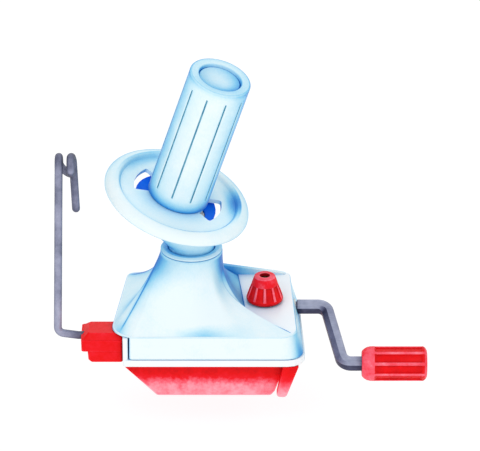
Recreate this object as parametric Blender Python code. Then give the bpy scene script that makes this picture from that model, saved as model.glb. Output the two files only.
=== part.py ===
"""Hand-cranked yarn ball winder with a table clamp.

World frame in metres, +Z up. The origin is on the main rotor axis, on the plane the winder stands on.
+X points at the crank end and -Y at the long front side. All lengths below are in millimetres, and
heights are measured from the underside of the base plate, which is STAND_HEIGHT above the origin.
"""

import math

import bmesh
import bpy
from mathutils import Matrix, Vector

MM = 0.001
GAP = 0.3
ROUND = 32
STAND_HEIGHT = 26.3

# Base plate and housing, seen from above: a box that is wider at the front than at the back.
FRONT_Y = -47.0
BACK_Y = 47.0
PLATE_TOP = 4.6
HOUSING_BOTTOM = PLATE_TOP + GAP
DECK_FRONT_Z = 21.7
DECK_BACK_Z = 25.0
WALL = 2.6
END_WALL_X = -42.2
END_FACE_X = -45.6
SKIRT_Z = 20.7
SCREW_PLACES = ((-33.0, -38.0), (60.0, -37.0), (57.0, 37.0), (-33.0, 37.0))

# Tower that carries the rotor.
TOWER_TOP = 64.5
TOWER_TOP_RADIUS = 20.8
NECK_RADIUS = 15.5
COLLAR_TOP = 66.9

# How the bell sweeps from foot to top: (angle at the foot, angle at the top, power of the sweep).
TOWER_SWEEP = (
    (-140.2, -174.5, 1.25),
    (-90.0, -90.0, 1.6),
    (-60.0, -55.0, 2.2),
    (-31.5, -20.0, 4.8),
    (-19.9, -6.0, 2.7),
    (15.0, 15.0, 2.4),
    (55.0, 50.0, 2.0),
    (90.0, 90.0, 1.8),
    (136.4, 165.0, 2.1),
    (178.0, 175.2, 2.3),
    (219.8, 185.5, 1.25),
)

# Rotor, tilted spool and the bevel pair between them.
APEX = Vector((0.0, 0.0, 131.0))
LEAN_DEG = -31.7
TILT_DEG = 20.0
SUN_TEETH = 15
PLANET_TEETH = 13
CONE_DISTANCE = 47.0
CONE_FACE = 6.0
CONE_TOOTH_DEPTHS = (0.8, 1.1)
FLANGE_RADIUS = 50.0
CORE_RADIUS = 20.75
CORE_BOTTOM = -30.4
CORE_TOP = 68.2
FLOOR_TOP = -30.7
HEAD_TOP = -38.0
HEAD_RADIUS = 26.0
ROTOR_PLATE_RADIUS = 28.0
ROTOR_PLATE_TOP = -36.2
PLANET_ROOM_RADIUS = 10.0
WINDOW_DEG = 16.25
GROOVES = 10
GROOVE_DEG = -3.75

# Drive train: crank, pair of small mitre gears, lay shaft, spur gear and rotor pinion.
CRANK_Y = 18.0
CRANK_Z = 12.2
SPUR_TEETH = 36
PINION_TEETH = 12
SPUR_MODULE = 1.2
SPUR_DISTANCE = SPUR_MODULE * (SPUR_TEETH + PINION_TEETH) / 2
SPUR_BOTTOM = 3.1
SPUR_TOP = 6.1
LAYSHAFT_X = math.sqrt(SPUR_DISTANCE**2 - CRANK_Y**2)
MITRE_TEETH = 10
MITRE_RADIUS = 5.0
MITRE_FACE = 2.2
CRANK_RADIUS = 50.0
CRANK_SWING_DEG = 66.9
GRIP_START = 114.2
GRIP_LENGTH = 43.8
GRIP_RADIUS = 11.7

# Clamp.
KNOB = Vector((49.2, 5.0, 24.3))
KNOB_HEIGHT = 18.1
JAW_TOP = -2.9
JAW_BOTTOM = -STAND_HEIGHT
JAW_HALF_DEPTH = 37.5
BOLT_RADIUS = 2.9
HEAD_SLOT_TOP = -10.6

# Yarn guide.
ARM_Y = -29.0
ARM_Z = 14.6
ARM_X = -89.3
ARM_TOP_X = -86.4
ARM_RADIUS = 2.65
ARM_TOP = 145.1


def clear_scene():
    for obj in list(bpy.data.objects):
        bpy.data.objects.remove(obj)


def make_material(name, colour, roughness, metallic=0.0):
    material = bpy.data.materials.new(name)
    material.use_nodes = True
    shader = material.node_tree.nodes["Principled BSDF"]
    shader.inputs["Base Color"].default_value = (*colour, 1.0)
    shader.inputs["Roughness"].default_value = roughness
    shader.inputs["Metallic"].default_value = metallic
    material.diffuse_color = (*colour, 1.0)
    return material


# ---------------------------------------------------------------- outlines and solids


def arc(centre, radius, start_deg, end_deg, steps):
    """Points on an arc, both ends included."""
    points = []
    for i in range(steps + 1):
        angle = math.radians(start_deg + (end_deg - start_deg) * i / steps)
        points.append((centre[0] + radius * math.cos(angle), centre[1] + radius * math.sin(angle)))
    return points


def circle(radius, count=ROUND, phase_deg=0.0):
    points = []
    for i in range(count):
        angle = math.radians(phase_deg) + 2 * math.pi * i / count
        points.append((radius * math.cos(angle), radius * math.sin(angle)))
    return points


def rounded_polygon(corners, radii, steps=4):
    """An outline with each corner, bending either way, replaced by an arc of its own radius."""
    points = []
    count = len(corners)
    for i, corner in enumerate(corners):
        here = Vector(corner)
        before = (Vector(corners[i - 1]) - here).normalized()
        after = (Vector(corners[(i + 1) % count]) - here).normalized()
        half = before.angle(after) / 2
        centre = here + (before + after).normalized() * radii[i] / math.sin(half)
        first = here + before * radii[i] / math.tan(half)
        last = here + after * radii[i] / math.tan(half)
        start = math.atan2(first.y - centre.y, first.x - centre.x)
        turn = math.atan2(last.y - centre.y, last.x - centre.x) - start
        turn = (turn + math.pi) % (2 * math.pi) - math.pi
        for k in range(steps + 1):
            angle = start + turn * k / steps
            points.append((centre.x + radii[i] * math.cos(angle), centre.y + radii[i] * math.sin(angle)))
    return points


def box_outline(x0, x1, y0, y1, radius, steps=4):
    corners = [(x0, y0), (x1, y0), (x1, y1), (x0, y1)]
    return rounded_polygon(corners, [radius] * 4, steps)


def toothed_outline(teeth, tip, root, phase_deg=0.0, tip_share=0.26, root_share=0.34):
    """Four points per tooth: two on its tip, then two on the root after it. The shares are of one pitch."""
    pitch = 2 * math.pi / teeth
    points = []
    for i in range(teeth):
        middle = math.radians(phase_deg) + i * pitch
        for offset, radius in (
            (-tip_share / 2, tip),
            (tip_share / 2, tip),
            (0.5 - root_share / 2, root),
            (0.5 + root_share / 2, root),
        ):
            angle = middle + offset * pitch
            points.append((radius * math.cos(angle), radius * math.sin(angle)))
    return points


def at_height(outline, z):
    return [Vector((x, y, z)) for x, y in outline]


def loft(rings, hollow=False):
    """A closed solid through rings of equal length. A hollow one joins the last ring to the first."""
    bm = bmesh.new()
    made = [[bm.verts.new(point) for point in ring] for ring in rings]
    count = len(rings[0])
    pairs = list(zip(made, made[1:]))
    if hollow:
        pairs.append((made[-1], made[0]))
    else:
        bm.faces.new(reversed(made[0]))
        bm.faces.new(made[-1])
    for lower, upper in pairs:
        for i in range(count):
            j = (i + 1) % count
            bm.faces.new((lower[i], lower[j], upper[j], upper[i]))
    bmesh.ops.recalc_face_normals(bm, faces=bm.faces)
    return bm


def prism(outline, z0, z1):
    return loft([at_height(outline, z0), at_height(outline, z1)])


def lathe(profile, count=ROUND, hollow=False, phase_deg=0.0):
    """Turns (radius, z) points about the Z axis."""
    rings = [at_height(circle(radius, count, phase_deg), z) for radius, z in profile]
    return loft(rings, hollow)


def frame(origin, z_axis, x_hint):
    """A placement whose Z and X axes point as given. X is made square to Z."""
    z = Vector(z_axis).normalized()
    x = Vector(x_hint)
    x = (x - z * x.dot(z)).normalized()
    y = z.cross(x)
    placement = Matrix((x, y, z)).transposed().to_4x4()
    placement.translation = Vector(origin)
    return placement


def placed(bm, placement):
    bmesh.ops.transform(bm, matrix=placement, verts=bm.verts)
    return bm


def bent_path(corners, radii, steps=6):
    """A polyline in space whose inner corners are replaced by arcs."""
    points = [Vector(corners[0])]
    for i in range(1, len(corners) - 1):
        here = Vector(corners[i])
        before = (Vector(corners[i - 1]) - here).normalized()
        after = (Vector(corners[i + 1]) - here).normalized()
        half = before.angle(after) / 2
        radius = radii[i - 1]
        centre = here + (before + after).normalized() * radius / math.sin(half)
        first = here + before * radius / math.tan(half) - centre
        last = here + after * radius / math.tan(half) - centre
        for k in range(steps + 1):
            points.append(centre + first.slerp(last, k / steps).normalized() * radius)
    points.append(Vector(corners[-1]))
    return points


def sweep_rings(path, outline, side):
    """Rings of an outline carried along a path, without twist. The first ring's X axis is `side`."""
    rings = []
    side = Vector(side)
    for i, point in enumerate(path):
        ahead = path[min(i + 1, len(path) - 1)] - path[max(i - 1, 0)]
        ahead.normalize()
        side = (side - ahead * side.dot(ahead)).normalized()
        other = ahead.cross(side)
        rings.append([point + side * x + other * y for x, y in outline])
    return rings


# ---------------------------------------------------------------- objects


def add_object(name, bm, material, pivot=(0, 0, 0), smooth_deg=35.0):
    """Turns millimetre geometry into an object whose origin is at the pivot."""
    shift = Matrix.Translation(-Vector(pivot))
    bmesh.ops.transform(bm, matrix=Matrix.Scale(MM, 4) @ shift, verts=bm.verts)
    mesh = bpy.data.meshes.new(name)
    bm.to_mesh(mesh)
    bm.free()
    obj = bpy.data.objects.new(name, mesh)
    obj.location = (Vector(pivot) + Vector((0, 0, STAND_HEIGHT))) * MM
    bpy.context.scene.collection.objects.link(obj)
    mesh.materials.append(material)
    mesh.shade_smooth()
    mesh.set_sharp_from_angle(angle=math.radians(smooth_deg))
    return obj


def combine(obj, helpers, operation, smooth_deg=35.0):
    """Joins or cuts helper solids into an object and bakes the result."""
    material = obj.data.materials[0]
    made = []
    for i, bm in enumerate(helpers):
        helper = add_object(f"{obj.name}_helper_{i}", bm, material)
        helper.hide_render = True
        helper.display_type = "WIRE"
        made.append(helper)
        modifier = obj.modifiers.new(f"{operation.lower()}_{i}", "BOOLEAN")
        modifier.operation = operation
        modifier.solver = "EXACT"
        modifier.object = helper
    graph = bpy.context.evaluated_depsgraph_get()
    baked = bpy.data.meshes.new_from_object(obj.evaluated_get(graph))
    obj.modifiers.clear()
    obj.data = baked
    baked.shade_smooth()
    baked.set_sharp_from_angle(angle=math.radians(smooth_deg))
    for helper in made:
        bpy.data.objects.remove(helper)


def join(obj, helpers, smooth_deg=35.0):
    combine(obj, helpers, "UNION", smooth_deg)


def cut(obj, helpers, smooth_deg=35.0):
    combine(obj, helpers, "DIFFERENCE", smooth_deg)


def bevel_edges(obj, width, angle_deg=40.0, segments=1):
    modifier = obj.modifiers.new("bevel", "BEVEL")
    modifier.width = width * MM
    modifier.segments = segments
    modifier.limit_method = "ANGLE"
    modifier.angle_limit = math.radians(angle_deg)
    modifier.harden_normals = False


def rod(start, end, radius, count=16):
    """A round bar between two points."""
    axis = Vector(end) - Vector(start)
    hint = Vector((0, 0, 1)) if abs(axis.normalized().z) < 0.9 else Vector((1, 0, 0))
    return placed(prism(circle(radius, count), 0, axis.length), frame(start, axis, hint))


def block(x0, x1, y0, y1, z0, z1, radius=0.6, steps=2):
    return prism(box_outline(x0, x1, y0, y1, radius, steps), z0, z1)


# ---------------------------------------------------------------- shared geometry

LEAN = Vector((math.cos(math.radians(LEAN_DEG)), math.sin(math.radians(LEAN_DEG)), 0.0))
SPOOL_AXIS = LEAN * math.sin(math.radians(TILT_DEG)) + Vector((0, 0, math.cos(math.radians(TILT_DEG))))
SPOOL_FRAME = frame(APEX, SPOOL_AXIS, LEAN)


def on_spool_axis(s):
    """The point s millimetres up the spool's axis from the apex of the bevel pair."""
    return APEX + SPOOL_AXIS * s


def deck_z(y):
    return DECK_FRONT_Z + (DECK_BACK_Z - DECK_FRONT_Z) * (y - FRONT_Y) / (BACK_Y - FRONT_Y)


def side_outline(left, right, inset, radii):
    """Plan of the housing. Left and right each give a front x and a back x."""
    corners = [
        (left[0] + inset, FRONT_Y + inset),
        (right[0] - inset, FRONT_Y + inset),
        (right[1] - inset, BACK_Y - inset),
        (left[1] + inset, BACK_Y - inset),
    ]
    return rounded_polygon(corners, radii)


def sloped(outline, drop):
    """The outline laid on the sloping deck, lowered by a drop."""
    return [Vector((x, y, deck_z(y) - drop)) for x, y in outline]


def tower_foot(inset, left):
    """Outline of the tower's foot: it spreads along the whole front edge and narrows behind the deck."""
    front = FRONT_Y + 0.6 + inset
    back = BACK_Y - 2.5 - inset
    corners = [
        (left[0], front),
        (64.0 - 2.0 * inset, front),
        (69.5 - 3.0 * inset, front + 4.1),
        (36.5 - 1.4 * inset, -12.0 - 0.4 * inset),
        (31.0 - inset, back),
        (left[1], back),
    ]
    return rounded_polygon(corners, [16.0, 4.0, 0.6, 15.0, 4.0, 6.0])


def hit_from_axis(outline, angle):
    """Where a ray from the main axis crosses an outline that goes once around it."""
    ray = Vector((math.cos(angle), math.sin(angle)))
    for i, corner in enumerate(outline):
        start = Vector(outline[i - 1])
        edge = Vector(corner) - start
        across = ray.x * edge.y - ray.y * edge.x
        if abs(across) < 1e-9:
            continue
        reach = (start.x * edge.y - start.y * edge.x) / across
        along = (start.x * ray.y - start.y * ray.x) / across
        if reach > 0 and -1e-6 <= along <= 1 + 1e-6:
            return ray * reach
    raise ValueError("the outline does not go around the axis")


def tower_sweep(angle_deg):
    """Angle at the top and power of the sweep for a point of the foot seen at this angle."""
    if angle_deg < TOWER_SWEEP[0][0]:
        angle_deg += 360.0
    for start, end in zip(TOWER_SWEEP, TOWER_SWEEP[1:]):
        if angle_deg <= end[0]:
            share = (angle_deg - start[0]) / (end[0] - start[0])
            eased = share * share * (3 - 2 * share)
            return start[1] + (end[1] - start[1]) * share, start[2] + (end[2] - start[2]) * eased
    raise ValueError("the sweep table does not cover this angle")


def tower_solid(inset, left, drop, top_z, top_radius):
    """Bell shape that runs from the spread foot to a round top."""
    outline = tower_foot(inset, left)
    tip = max(outline)
    angles = [float(a) for a in range(-180, 180, 10)]
    angles += [math.degrees(math.atan2(tip[1], tip[0])), -140.2, -19.9, 136.4]
    rings = []
    for t in (0.0, 0.07, 0.16, 0.28, 0.45, 0.7, 1.0):
        ring = []
        for angle in sorted(angles):
            foot = hit_from_axis(outline, math.radians(angle))
            top_deg, power = tower_sweep(angle)
            top = Vector((math.cos(math.radians(top_deg)), math.sin(math.radians(top_deg)))) * top_radius
            spread = (1 - t) ** power
            foot_z = deck_z(foot.y) - drop
            here = top.lerp(foot, spread)
            ring.append(Vector((here.x, here.y, foot_z + (top_z - foot_z) * t)))
        rings.append(ring)
    return loft(rings)


# ---------------------------------------------------------------- fixed structure


def base_plate(material):
    """White tray: floor, raised left end wall, inner crank bearing and holes for the fixings."""
    outline = side_outline((END_FACE_X, END_FACE_X), (76.6, 72.6), 0, [2.0, 12.0, 6.0, 2.0])
    plate = add_object("base_plate", prism(outline, 0, PLATE_TOP), material)
    wall_outline = box_outline(END_FACE_X, END_WALL_X, FRONT_Y + 0.3, BACK_Y - 3, 1.2, 3)
    end_wall = prism(wall_outline, PLATE_TOP - 1, SKIRT_Z - GAP)
    bearing = block(46.8, 51.6, CRANK_Y - 6, CRANK_Y + 6, PLATE_TOP - 1, CRANK_Z + 6.5, 1.2)
    join(plate, [end_wall, bearing])
    gear_well = prism(circle(SPUR_MODULE * SPUR_TEETH / 2 + 2.6), SPUR_BOTTOM - GAP, PLATE_TOP + 0.4)
    bmesh.ops.translate(gear_well, vec=(LAYSHAFT_X, CRANK_Y, 0), verts=gear_well.verts)
    pinion_well = prism(circle(10.5), SPUR_BOTTOM - GAP, PLATE_TOP + 0.5)
    cutters = [gear_well, pinion_well]
    cutters.append(rod((45, CRANK_Y, CRANK_Z), (53, CRANK_Y, CRANK_Z), 3.75))
    cutters.append(rod((KNOB.x, KNOB.y, -1), (KNOB.x, KNOB.y, PLATE_TOP + 1), 3.4))
    cutters.append(rod((0, 0, -1), (0, 0, 4), 2.85))
    cutters.append(rod((0, 0, -1), (0, 0, 1.4), 6.2))
    cutters.append(rod((LAYSHAFT_X, CRANK_Y, -1), (LAYSHAFT_X, CRANK_Y, 4), 1.62))
    cutters.append(rod((LAYSHAFT_X, CRANK_Y, -1), (LAYSHAFT_X, CRANK_Y, 1.2), 3.7))
    for x, y in SCREW_PLACES:
        cutters.append(rod((x, y, -1), (x, y, PLATE_TOP + 1), 1.7, 12))
        cutters.append(rod((x, y, -1), (x, y, 2.1), 3.3, 12))
    cutters.append(block(-46.5, -41.5, ARM_Y - 6.3, ARM_Y + 6.3, 6.7, 15.3, 1.0))
    cut(plate, cutters)


def cover_screws(material):
    for i, (x, y) in enumerate(SCREW_PLACES):
        profile = [(3.0, 0.3), (3.0, 1.8), (1.35, 1.85), (1.35, 12.5), (0.7, 13.4)]
        screw = lathe(profile, 12)
        bmesh.ops.translate(screw, vec=(x, y, 0), verts=screw.verts)
        obj = add_object(f"cover_screw_{i + 1}", screw, material)
        slots = []
        for turn in (0, 90):
            slot = prism([(-2.0, -0.35), (2.0, -0.35), (2.0, 0.35), (-2.0, 0.35)], -0.5, 1.1)
            bmesh.ops.transform(slot, matrix=Matrix.Rotation(math.radians(turn), 4, "Z"), verts=slot.verts)
            bmesh.ops.translate(slot, vec=(x, y, 0), verts=slot.verts)
            slots.append(slot)
        cut(obj, slots)


def housing_cover(material):
    """Pale blue shell: low box with a sloping deck, and the bell-shaped tower over its left part."""
    side_radii = [2.0, 12.0, 6.0, 3.0]
    low_left = (END_WALL_X + GAP, END_WALL_X + GAP)
    low_right = (75.8, 72.0)
    deck_right = (71.4, 67.2)
    lower = side_outline(low_left, low_right, 0.3, side_radii)
    upper = side_outline(low_left, deck_right, 0.5, side_radii)
    body = add_object("housing_cover", loft([at_height(lower, HOUSING_BOTTOM), sloped(upper, 0)]), material)
    slab = side_outline((-55.6, -45.0), deck_right, 0.8, [16.5, 12.0, 6.0, 6.0])
    shelf = loft([at_height(slab, SKIRT_Z), sloped(slab, 0.05)])
    tower = tower_solid(0.0, (-54.3, -44.2), 0.6, TOWER_TOP, TOWER_TOP_RADIUS)
    rim_top = [(20.0, 32.5), (32.0, 30.6), (48.0, 28.2), (58.0, 26.8), (63.0, 26.2)]
    rim_outline = [(20.0, 20.0), (63.0, 20.0)] + rim_top[::-1]
    rim = placed(prism(rim_outline, -44.9, -41.9), frame((0, 0, 0), (0, -1, 0), (1, 0, 0)))
    join(body, [shelf, tower, rim])

    inner_radii = [1.0, 9.5, 3.5, 1.5]
    inner_low = side_outline(low_left, low_right, 0.3 + WALL, inner_radii)
    inner_high = side_outline(low_left, deck_right, 0.5 + WALL, inner_radii)
    hollow = loft([at_height(inner_low, HOUSING_BOTTOM - 1), sloped(inner_high, WALL)])
    inner_left = (END_WALL_X + GAP + WALL, END_WALL_X + GAP + WALL)
    inner_top = TOWER_TOP_RADIUS - WALL
    tower_hollow = tower_solid(WALL, inner_left, WALL + 1.5, TOWER_TOP - WALL, inner_top)
    cut(body, [hollow, tower_hollow])

    bosses = [rod((x, y, HOUSING_BOTTOM), (x, y, deck_z(y) - 1.5), 3.6, 12) for x, y in SCREW_PLACES]
    join(body, bosses)
    cutters = [rod((x, y, HOUSING_BOTTOM - 1), (x, y, 14.5), 1.6, 12) for x, y in SCREW_PLACES]
    cutters.append(prism(circle(17.9, 36), TOWER_TOP - WALL - 4, TOWER_TOP + 2))
    cutters.append(rod((KNOB.x, KNOB.y, 15), (KNOB.x, KNOB.y, 30), 4.9))
    cutters.append(rod((60, CRANK_Y, CRANK_Z), (80, CRANK_Y, CRANK_Z), 5.5))
    cut(body, cutters)


def collar_bush(material):
    profile = [
        (15.85, 58.8),
        (17.6, 58.8),
        (17.6, TOWER_TOP + GAP),
        (20.4, TOWER_TOP + GAP),
        (20.7, TOWER_TOP + 1.2),
        (19.0, COLLAR_TOP),
        (15.85, COLLAR_TOP),
    ]
    add_object("collar_bush", lathe(profile, 44, hollow=True), material)


def center_post(material):
    profile = [(6.0, 0.3), (6.0, 1.2), (2.7, 1.25), (2.7, 92.6), (2.2, 93.1)]
    add_object("center_post", lathe(profile, 16), material)


def layshaft_pin(material):
    pin = lathe([(3.5, 0.3), (3.5, 1.0), (1.5, 1.05), (1.5, 18.6), (1.2, 18.9)], 16)
    bmesh.ops.translate(pin, vec=(LAYSHAFT_X, CRANK_Y, 0), verts=pin.verts)
    add_object("layshaft_pin", pin, material)


def crank_bush(material):
    """Plain bearing in the housing wall, with its flange on the inside."""
    profile = [(3.85, 0), (6.8, 0), (6.8, 1.6), (5.2, 1.6), (5.2, 7.9), (3.85, 7.9)]
    bush = lathe(profile, 20, hollow=True)
    placed(bush, frame((62.3, CRANK_Y, CRANK_Z), (1, 0, 0), (0, 0, 1)))
    add_object("crank_bush", bush, material)


def guide_arm_holder(material):
    """Stepped red block on the end wall, with a tongue that locks through the wall."""
    levels = [
        (0.0, -67.3, -40.0, -17.4),
        (1.6, -68.8, -40.4, -16.8),
        (8.1, -69.3, -40.4, -16.8),
        (8.3, -73.3, -41.0, -15.6),
        (16.3, -73.5, -41.0, -15.6),
        (16.5, -72.6, -40.4, -16.2),
        (20.4, -68.5, -37.2, -20.4),
    ]
    wall_side = END_FACE_X - GAP
    rings = [at_height(box_outline(x, wall_side, front, back, 1.8, 3), z) for z, x, front, back in levels]
    holder = add_object("guide_arm_holder", loft(rings), material)
    join(holder, [block(-47, -42.5, ARM_Y - 6, ARM_Y + 6, 7, 15, 0.8)])
    cut(holder, [rod((-80, ARM_Y, ARM_Z), (-52, ARM_Y, ARM_Z), ARM_RADIUS + 0.2)])


def clamp_legs(material):
    """Two slanted guide legs under the crank end. The jaw rides between them."""
    outline = [(61.2, -GAP), (71.4, -GAP), (71.6, -1.2)]
    outline += arc((61.3, -20.6), 3.0, -18, -80, 3)
    outline += arc((59.6, -21.0), 2.6, -110, -168, 3)
    width = 7.8
    for name, front in (("clamp_leg_front", -46.2), ("clamp_leg_back", 38.4)):
        leg = placed(prism(outline, 0, width), frame((0, front + width, 0), (0, -1, 0), (1, 0, 0)))
        obj = add_object(name, leg, material)
        bevel_edges(obj, 0.7)


# ---------------------------------------------------------------- crank and drive train


def tooth_angles(teeth, phase_deg):
    """Four angles per tooth: two on its tip, then two on the root after it."""
    pitch = 2 * math.pi / teeth
    offsets = (-0.13, 0.13, 0.33, 0.67)
    return [math.radians(phase_deg) + (i + offset) * pitch for i in range(teeth) for offset in offsets]


def bevel_gear(teeth, pitch_radius, half_angle, face, tooth_depths, bore, hub, phase_deg):
    """A bevel gear about +Z with its apex at the origin, as one hollow loft.

    tooth_depths are measured outward and inward from the pitch cone. hub is its radius and length.
    """
    addendum, dedendum = tooth_depths
    angles = tooth_angles(teeth, phase_deg)
    heel = []
    for i, angle in enumerate(angles):
        offset = addendum if i % 4 < 2 else -dedendum
        radius = pitch_radius + offset * math.cos(half_angle)
        height = pitch_radius / math.tan(half_angle) - offset * math.sin(half_angle)
        heel.append(Vector((radius * math.cos(angle), radius * math.sin(angle), height)))
    slant = pitch_radius / math.sin(half_angle)
    toe = [point * (1 - face / slant) for point in heel]
    hub_radius, hub_length = hub
    back = max(point.z for point in heel) + hub_length
    front = min(point.z for point in toe) + 0.3

    def around(radius, z):
        return [Vector((radius * math.cos(a), radius * math.sin(a), z)) for a in angles]

    rings = [around(bore, front), toe, heel, around(hub_radius, back), around(bore, back)]
    return loft(rings, hollow=True)


def mitre_gear(phase_deg, bore):
    half_angle = math.radians(45)
    return bevel_gear(
        MITRE_TEETH, MITRE_RADIUS, half_angle, MITRE_FACE, (0.7, 0.95), bore, (4.0, 0.9), phase_deg
    )


def crank_frame():
    """Crank axis as X, with Z pointing from the axis toward the grip."""
    swing = math.radians(CRANK_SWING_DEG)
    toward_grip = Vector((0, -math.sin(swing), -math.cos(swing)))
    return frame((0, CRANK_Y, CRANK_Z), (1, 0, 0), toward_grip)


def crank_parts(steel, brass, red):
    pivot = (74.0, CRANK_Y, CRANK_Z)
    turn = crank_frame()
    square = box_outline(-3.9, 3.9, -3.9, 3.9, 1.7, 3)
    round_bar = circle(3.6, len(square), 225 - 180.0 / len(square) * 3)
    grip_bar = circle(3.0, len(square), 225 - 180.0 / len(square) * 3)
    shaft_end = circle(1.9, len(square), 225 - 180.0 / len(square) * 3)
    # Path in the crank's own plane: (distance from the axis, 0, position along X).
    inner_end = LAYSHAFT_X + 3.7
    bar_end = GRIP_START + 2.0
    corners = [(0, 0, 71.5), (0, 0, 91.0), (CRANK_RADIUS, 0, 101.6), (CRANK_RADIUS, 0, bar_end)]
    path = bent_path(corners, [7.0, 7.0])
    rings = [
        [Vector((x, y, inner_end)) for x, y in shaft_end],
        [Vector((x, y, LAYSHAFT_X + 8.0)) for x, y in shaft_end],
        [Vector((x, y, LAYSHAFT_X + 8.0)) for x, y in round_bar],
        [Vector((x, y, 70.9)) for x, y in round_bar],
    ]
    rings += sweep_rings(path, square, (1, 0, 0))
    end = GRIP_START + GRIP_LENGTH
    rings += [
        [Vector((x + CRANK_RADIUS, y, bar_end)) for x, y in grip_bar],
        [Vector((x + CRANK_RADIUS, y, end - 6.4)) for x, y in grip_bar],
    ]
    arm = placed(loft(rings), turn)
    add_object("crank_arm", arm, steel, pivot)

    gear_frame = frame((LAYSHAFT_X, CRANK_Y, CRANK_Z), (1, 0, 0), (0, 0, 1))
    gear = placed(mitre_gear(180.0 / MITRE_TEETH, 2.05), gear_frame)
    add_object("crank_bevel_gear", gear, brass, pivot)

    clip = lathe([(3.8, 0), (6.0, 0), (6.0, 1.6), (3.8, 1.6)], 16, hollow=True)
    placed(clip, frame((59.6, CRANK_Y, CRANK_Z), (1, 0, 0), (0, 0, 1)))
    add_object("crank_stop_ring", clip, steel, pivot)

    grip_axis = turn @ Vector((CRANK_RADIUS, 0, GRIP_START))
    ridges = 9
    count = len(tooth_angles(ridges, 0))
    bore = circle(3.3, count)
    socket = circle(5.7, count)
    stations = [
        (0.0, 8.4, 8.4),
        (3.4, 11.3, 11.3),
        (8.8, GRIP_RADIUS, GRIP_RADIUS),
        (9.8, GRIP_RADIUS, 10.6),
        (39.6, GRIP_RADIUS, 10.6),
        (40.6, GRIP_RADIUS, GRIP_RADIUS),
        (42.6, 10.7, 10.7),
        (GRIP_LENGTH, 8.0, 8.0),
    ]
    rings = [at_height(bore, 3.0), at_height(socket, 3.0), at_height(socket, 0.0)]
    rings += [at_height(toothed_outline(ridges, ridge, valley, 0, 0.24, 0.64), z) for z, ridge, valley in stations]
    rings += [at_height(circle(5.6, count), GRIP_LENGTH), at_height(circle(5.6, count), GRIP_LENGTH - 6.0)]
    rings += [at_height(bore, GRIP_LENGTH - 6.0)]
    grip = placed(loft(rings, hollow=True), frame(grip_axis, (1, 0, 0), (0, -0.9, 0.43)))
    add_object("crank_grip", grip, red, grip_axis)
    cap = lathe([(5.2, 0), (5.2, 4.8), (3.0, 5.9)], 20)
    placed(cap, frame(grip_axis + Vector((GRIP_LENGTH - 5.7, 0, 0)), (1, 0, 0), (0, 0, 1)))
    add_object("grip_end_cap", cap, red, grip_axis)


def layshaft_parts(nylon, brass):
    pivot = (LAYSHAFT_X, CRANK_Y, 0)
    to_rotor = math.degrees(math.atan2(-CRANK_Y, -LAYSHAFT_X))
    pitch_radius = SPUR_MODULE * SPUR_TEETH / 2
    phase = to_rotor + 180.0 / SPUR_TEETH
    teeth = toothed_outline(SPUR_TEETH, pitch_radius + 0.9, pitch_radius - 1.3, phase)
    toe = 0.75 * MITRE_RADIUS + CRANK_Z - 1.0
    gear = prism(teeth, SPUR_BOTTOM, SPUR_TOP)
    bmesh.ops.translate(gear, vec=(LAYSHAFT_X, CRANK_Y, 0), verts=gear.verts)
    obj = add_object("layshaft_spur_gear", gear, nylon, pivot)
    foot = (LAYSHAFT_X, CRANK_Y, SPUR_BOTTOM + 1)
    join(obj, [rod(foot, (LAYSHAFT_X, CRANK_Y, toe), 2.7, 16)])
    cut(obj, [rod((LAYSHAFT_X, CRANK_Y, 0), (LAYSHAFT_X, CRANK_Y, toe + 1), 1.66, 16)])
    mitre_frame = frame((LAYSHAFT_X, CRANK_Y, CRANK_Z), (0, 0, 1), (1, 0, 0))
    mitre = placed(mitre_gear(0, 1.66), mitre_frame)
    add_object("layshaft_bevel_gear", mitre, brass, pivot)


# ---------------------------------------------------------------- rotor and spool


def rotor_parts(ice, royal, nylon, steel):
    to_layshaft = math.degrees(math.atan2(CRANK_Y, LAYSHAFT_X))
    pitch_radius = SPUR_MODULE * PINION_TEETH / 2
    teeth = toothed_outline(PINION_TEETH, pitch_radius + 0.9, pitch_radius - 1.25, to_layshaft)
    count = len(teeth)
    rings = [
        at_height(circle(4.8, count, to_layshaft), SPUR_BOTTOM),
        at_height(teeth, SPUR_BOTTOM),
        at_height(teeth, SPUR_TOP + 0.6),
        at_height(circle(4.8, count, to_layshaft), SPUR_TOP + 0.6),
    ]
    add_object("rotor_pinion", loft(rings, hollow=True), nylon)
    tube = lathe([(2.95, 3.2), (4.6, 3.2), (4.6, 73.0), (2.95, 73.0)], 20, hollow=True)
    add_object("rotor_tube", tube, steel)
    rotor_head(ice)
    rotor_plate(royal)
    spindle = lathe([(2.9, -58.0), (2.9, 52.0), (2.4, 52.6)], 16)
    add_object("spool_spindle", placed(spindle, SPOOL_FRAME), steel)


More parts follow.
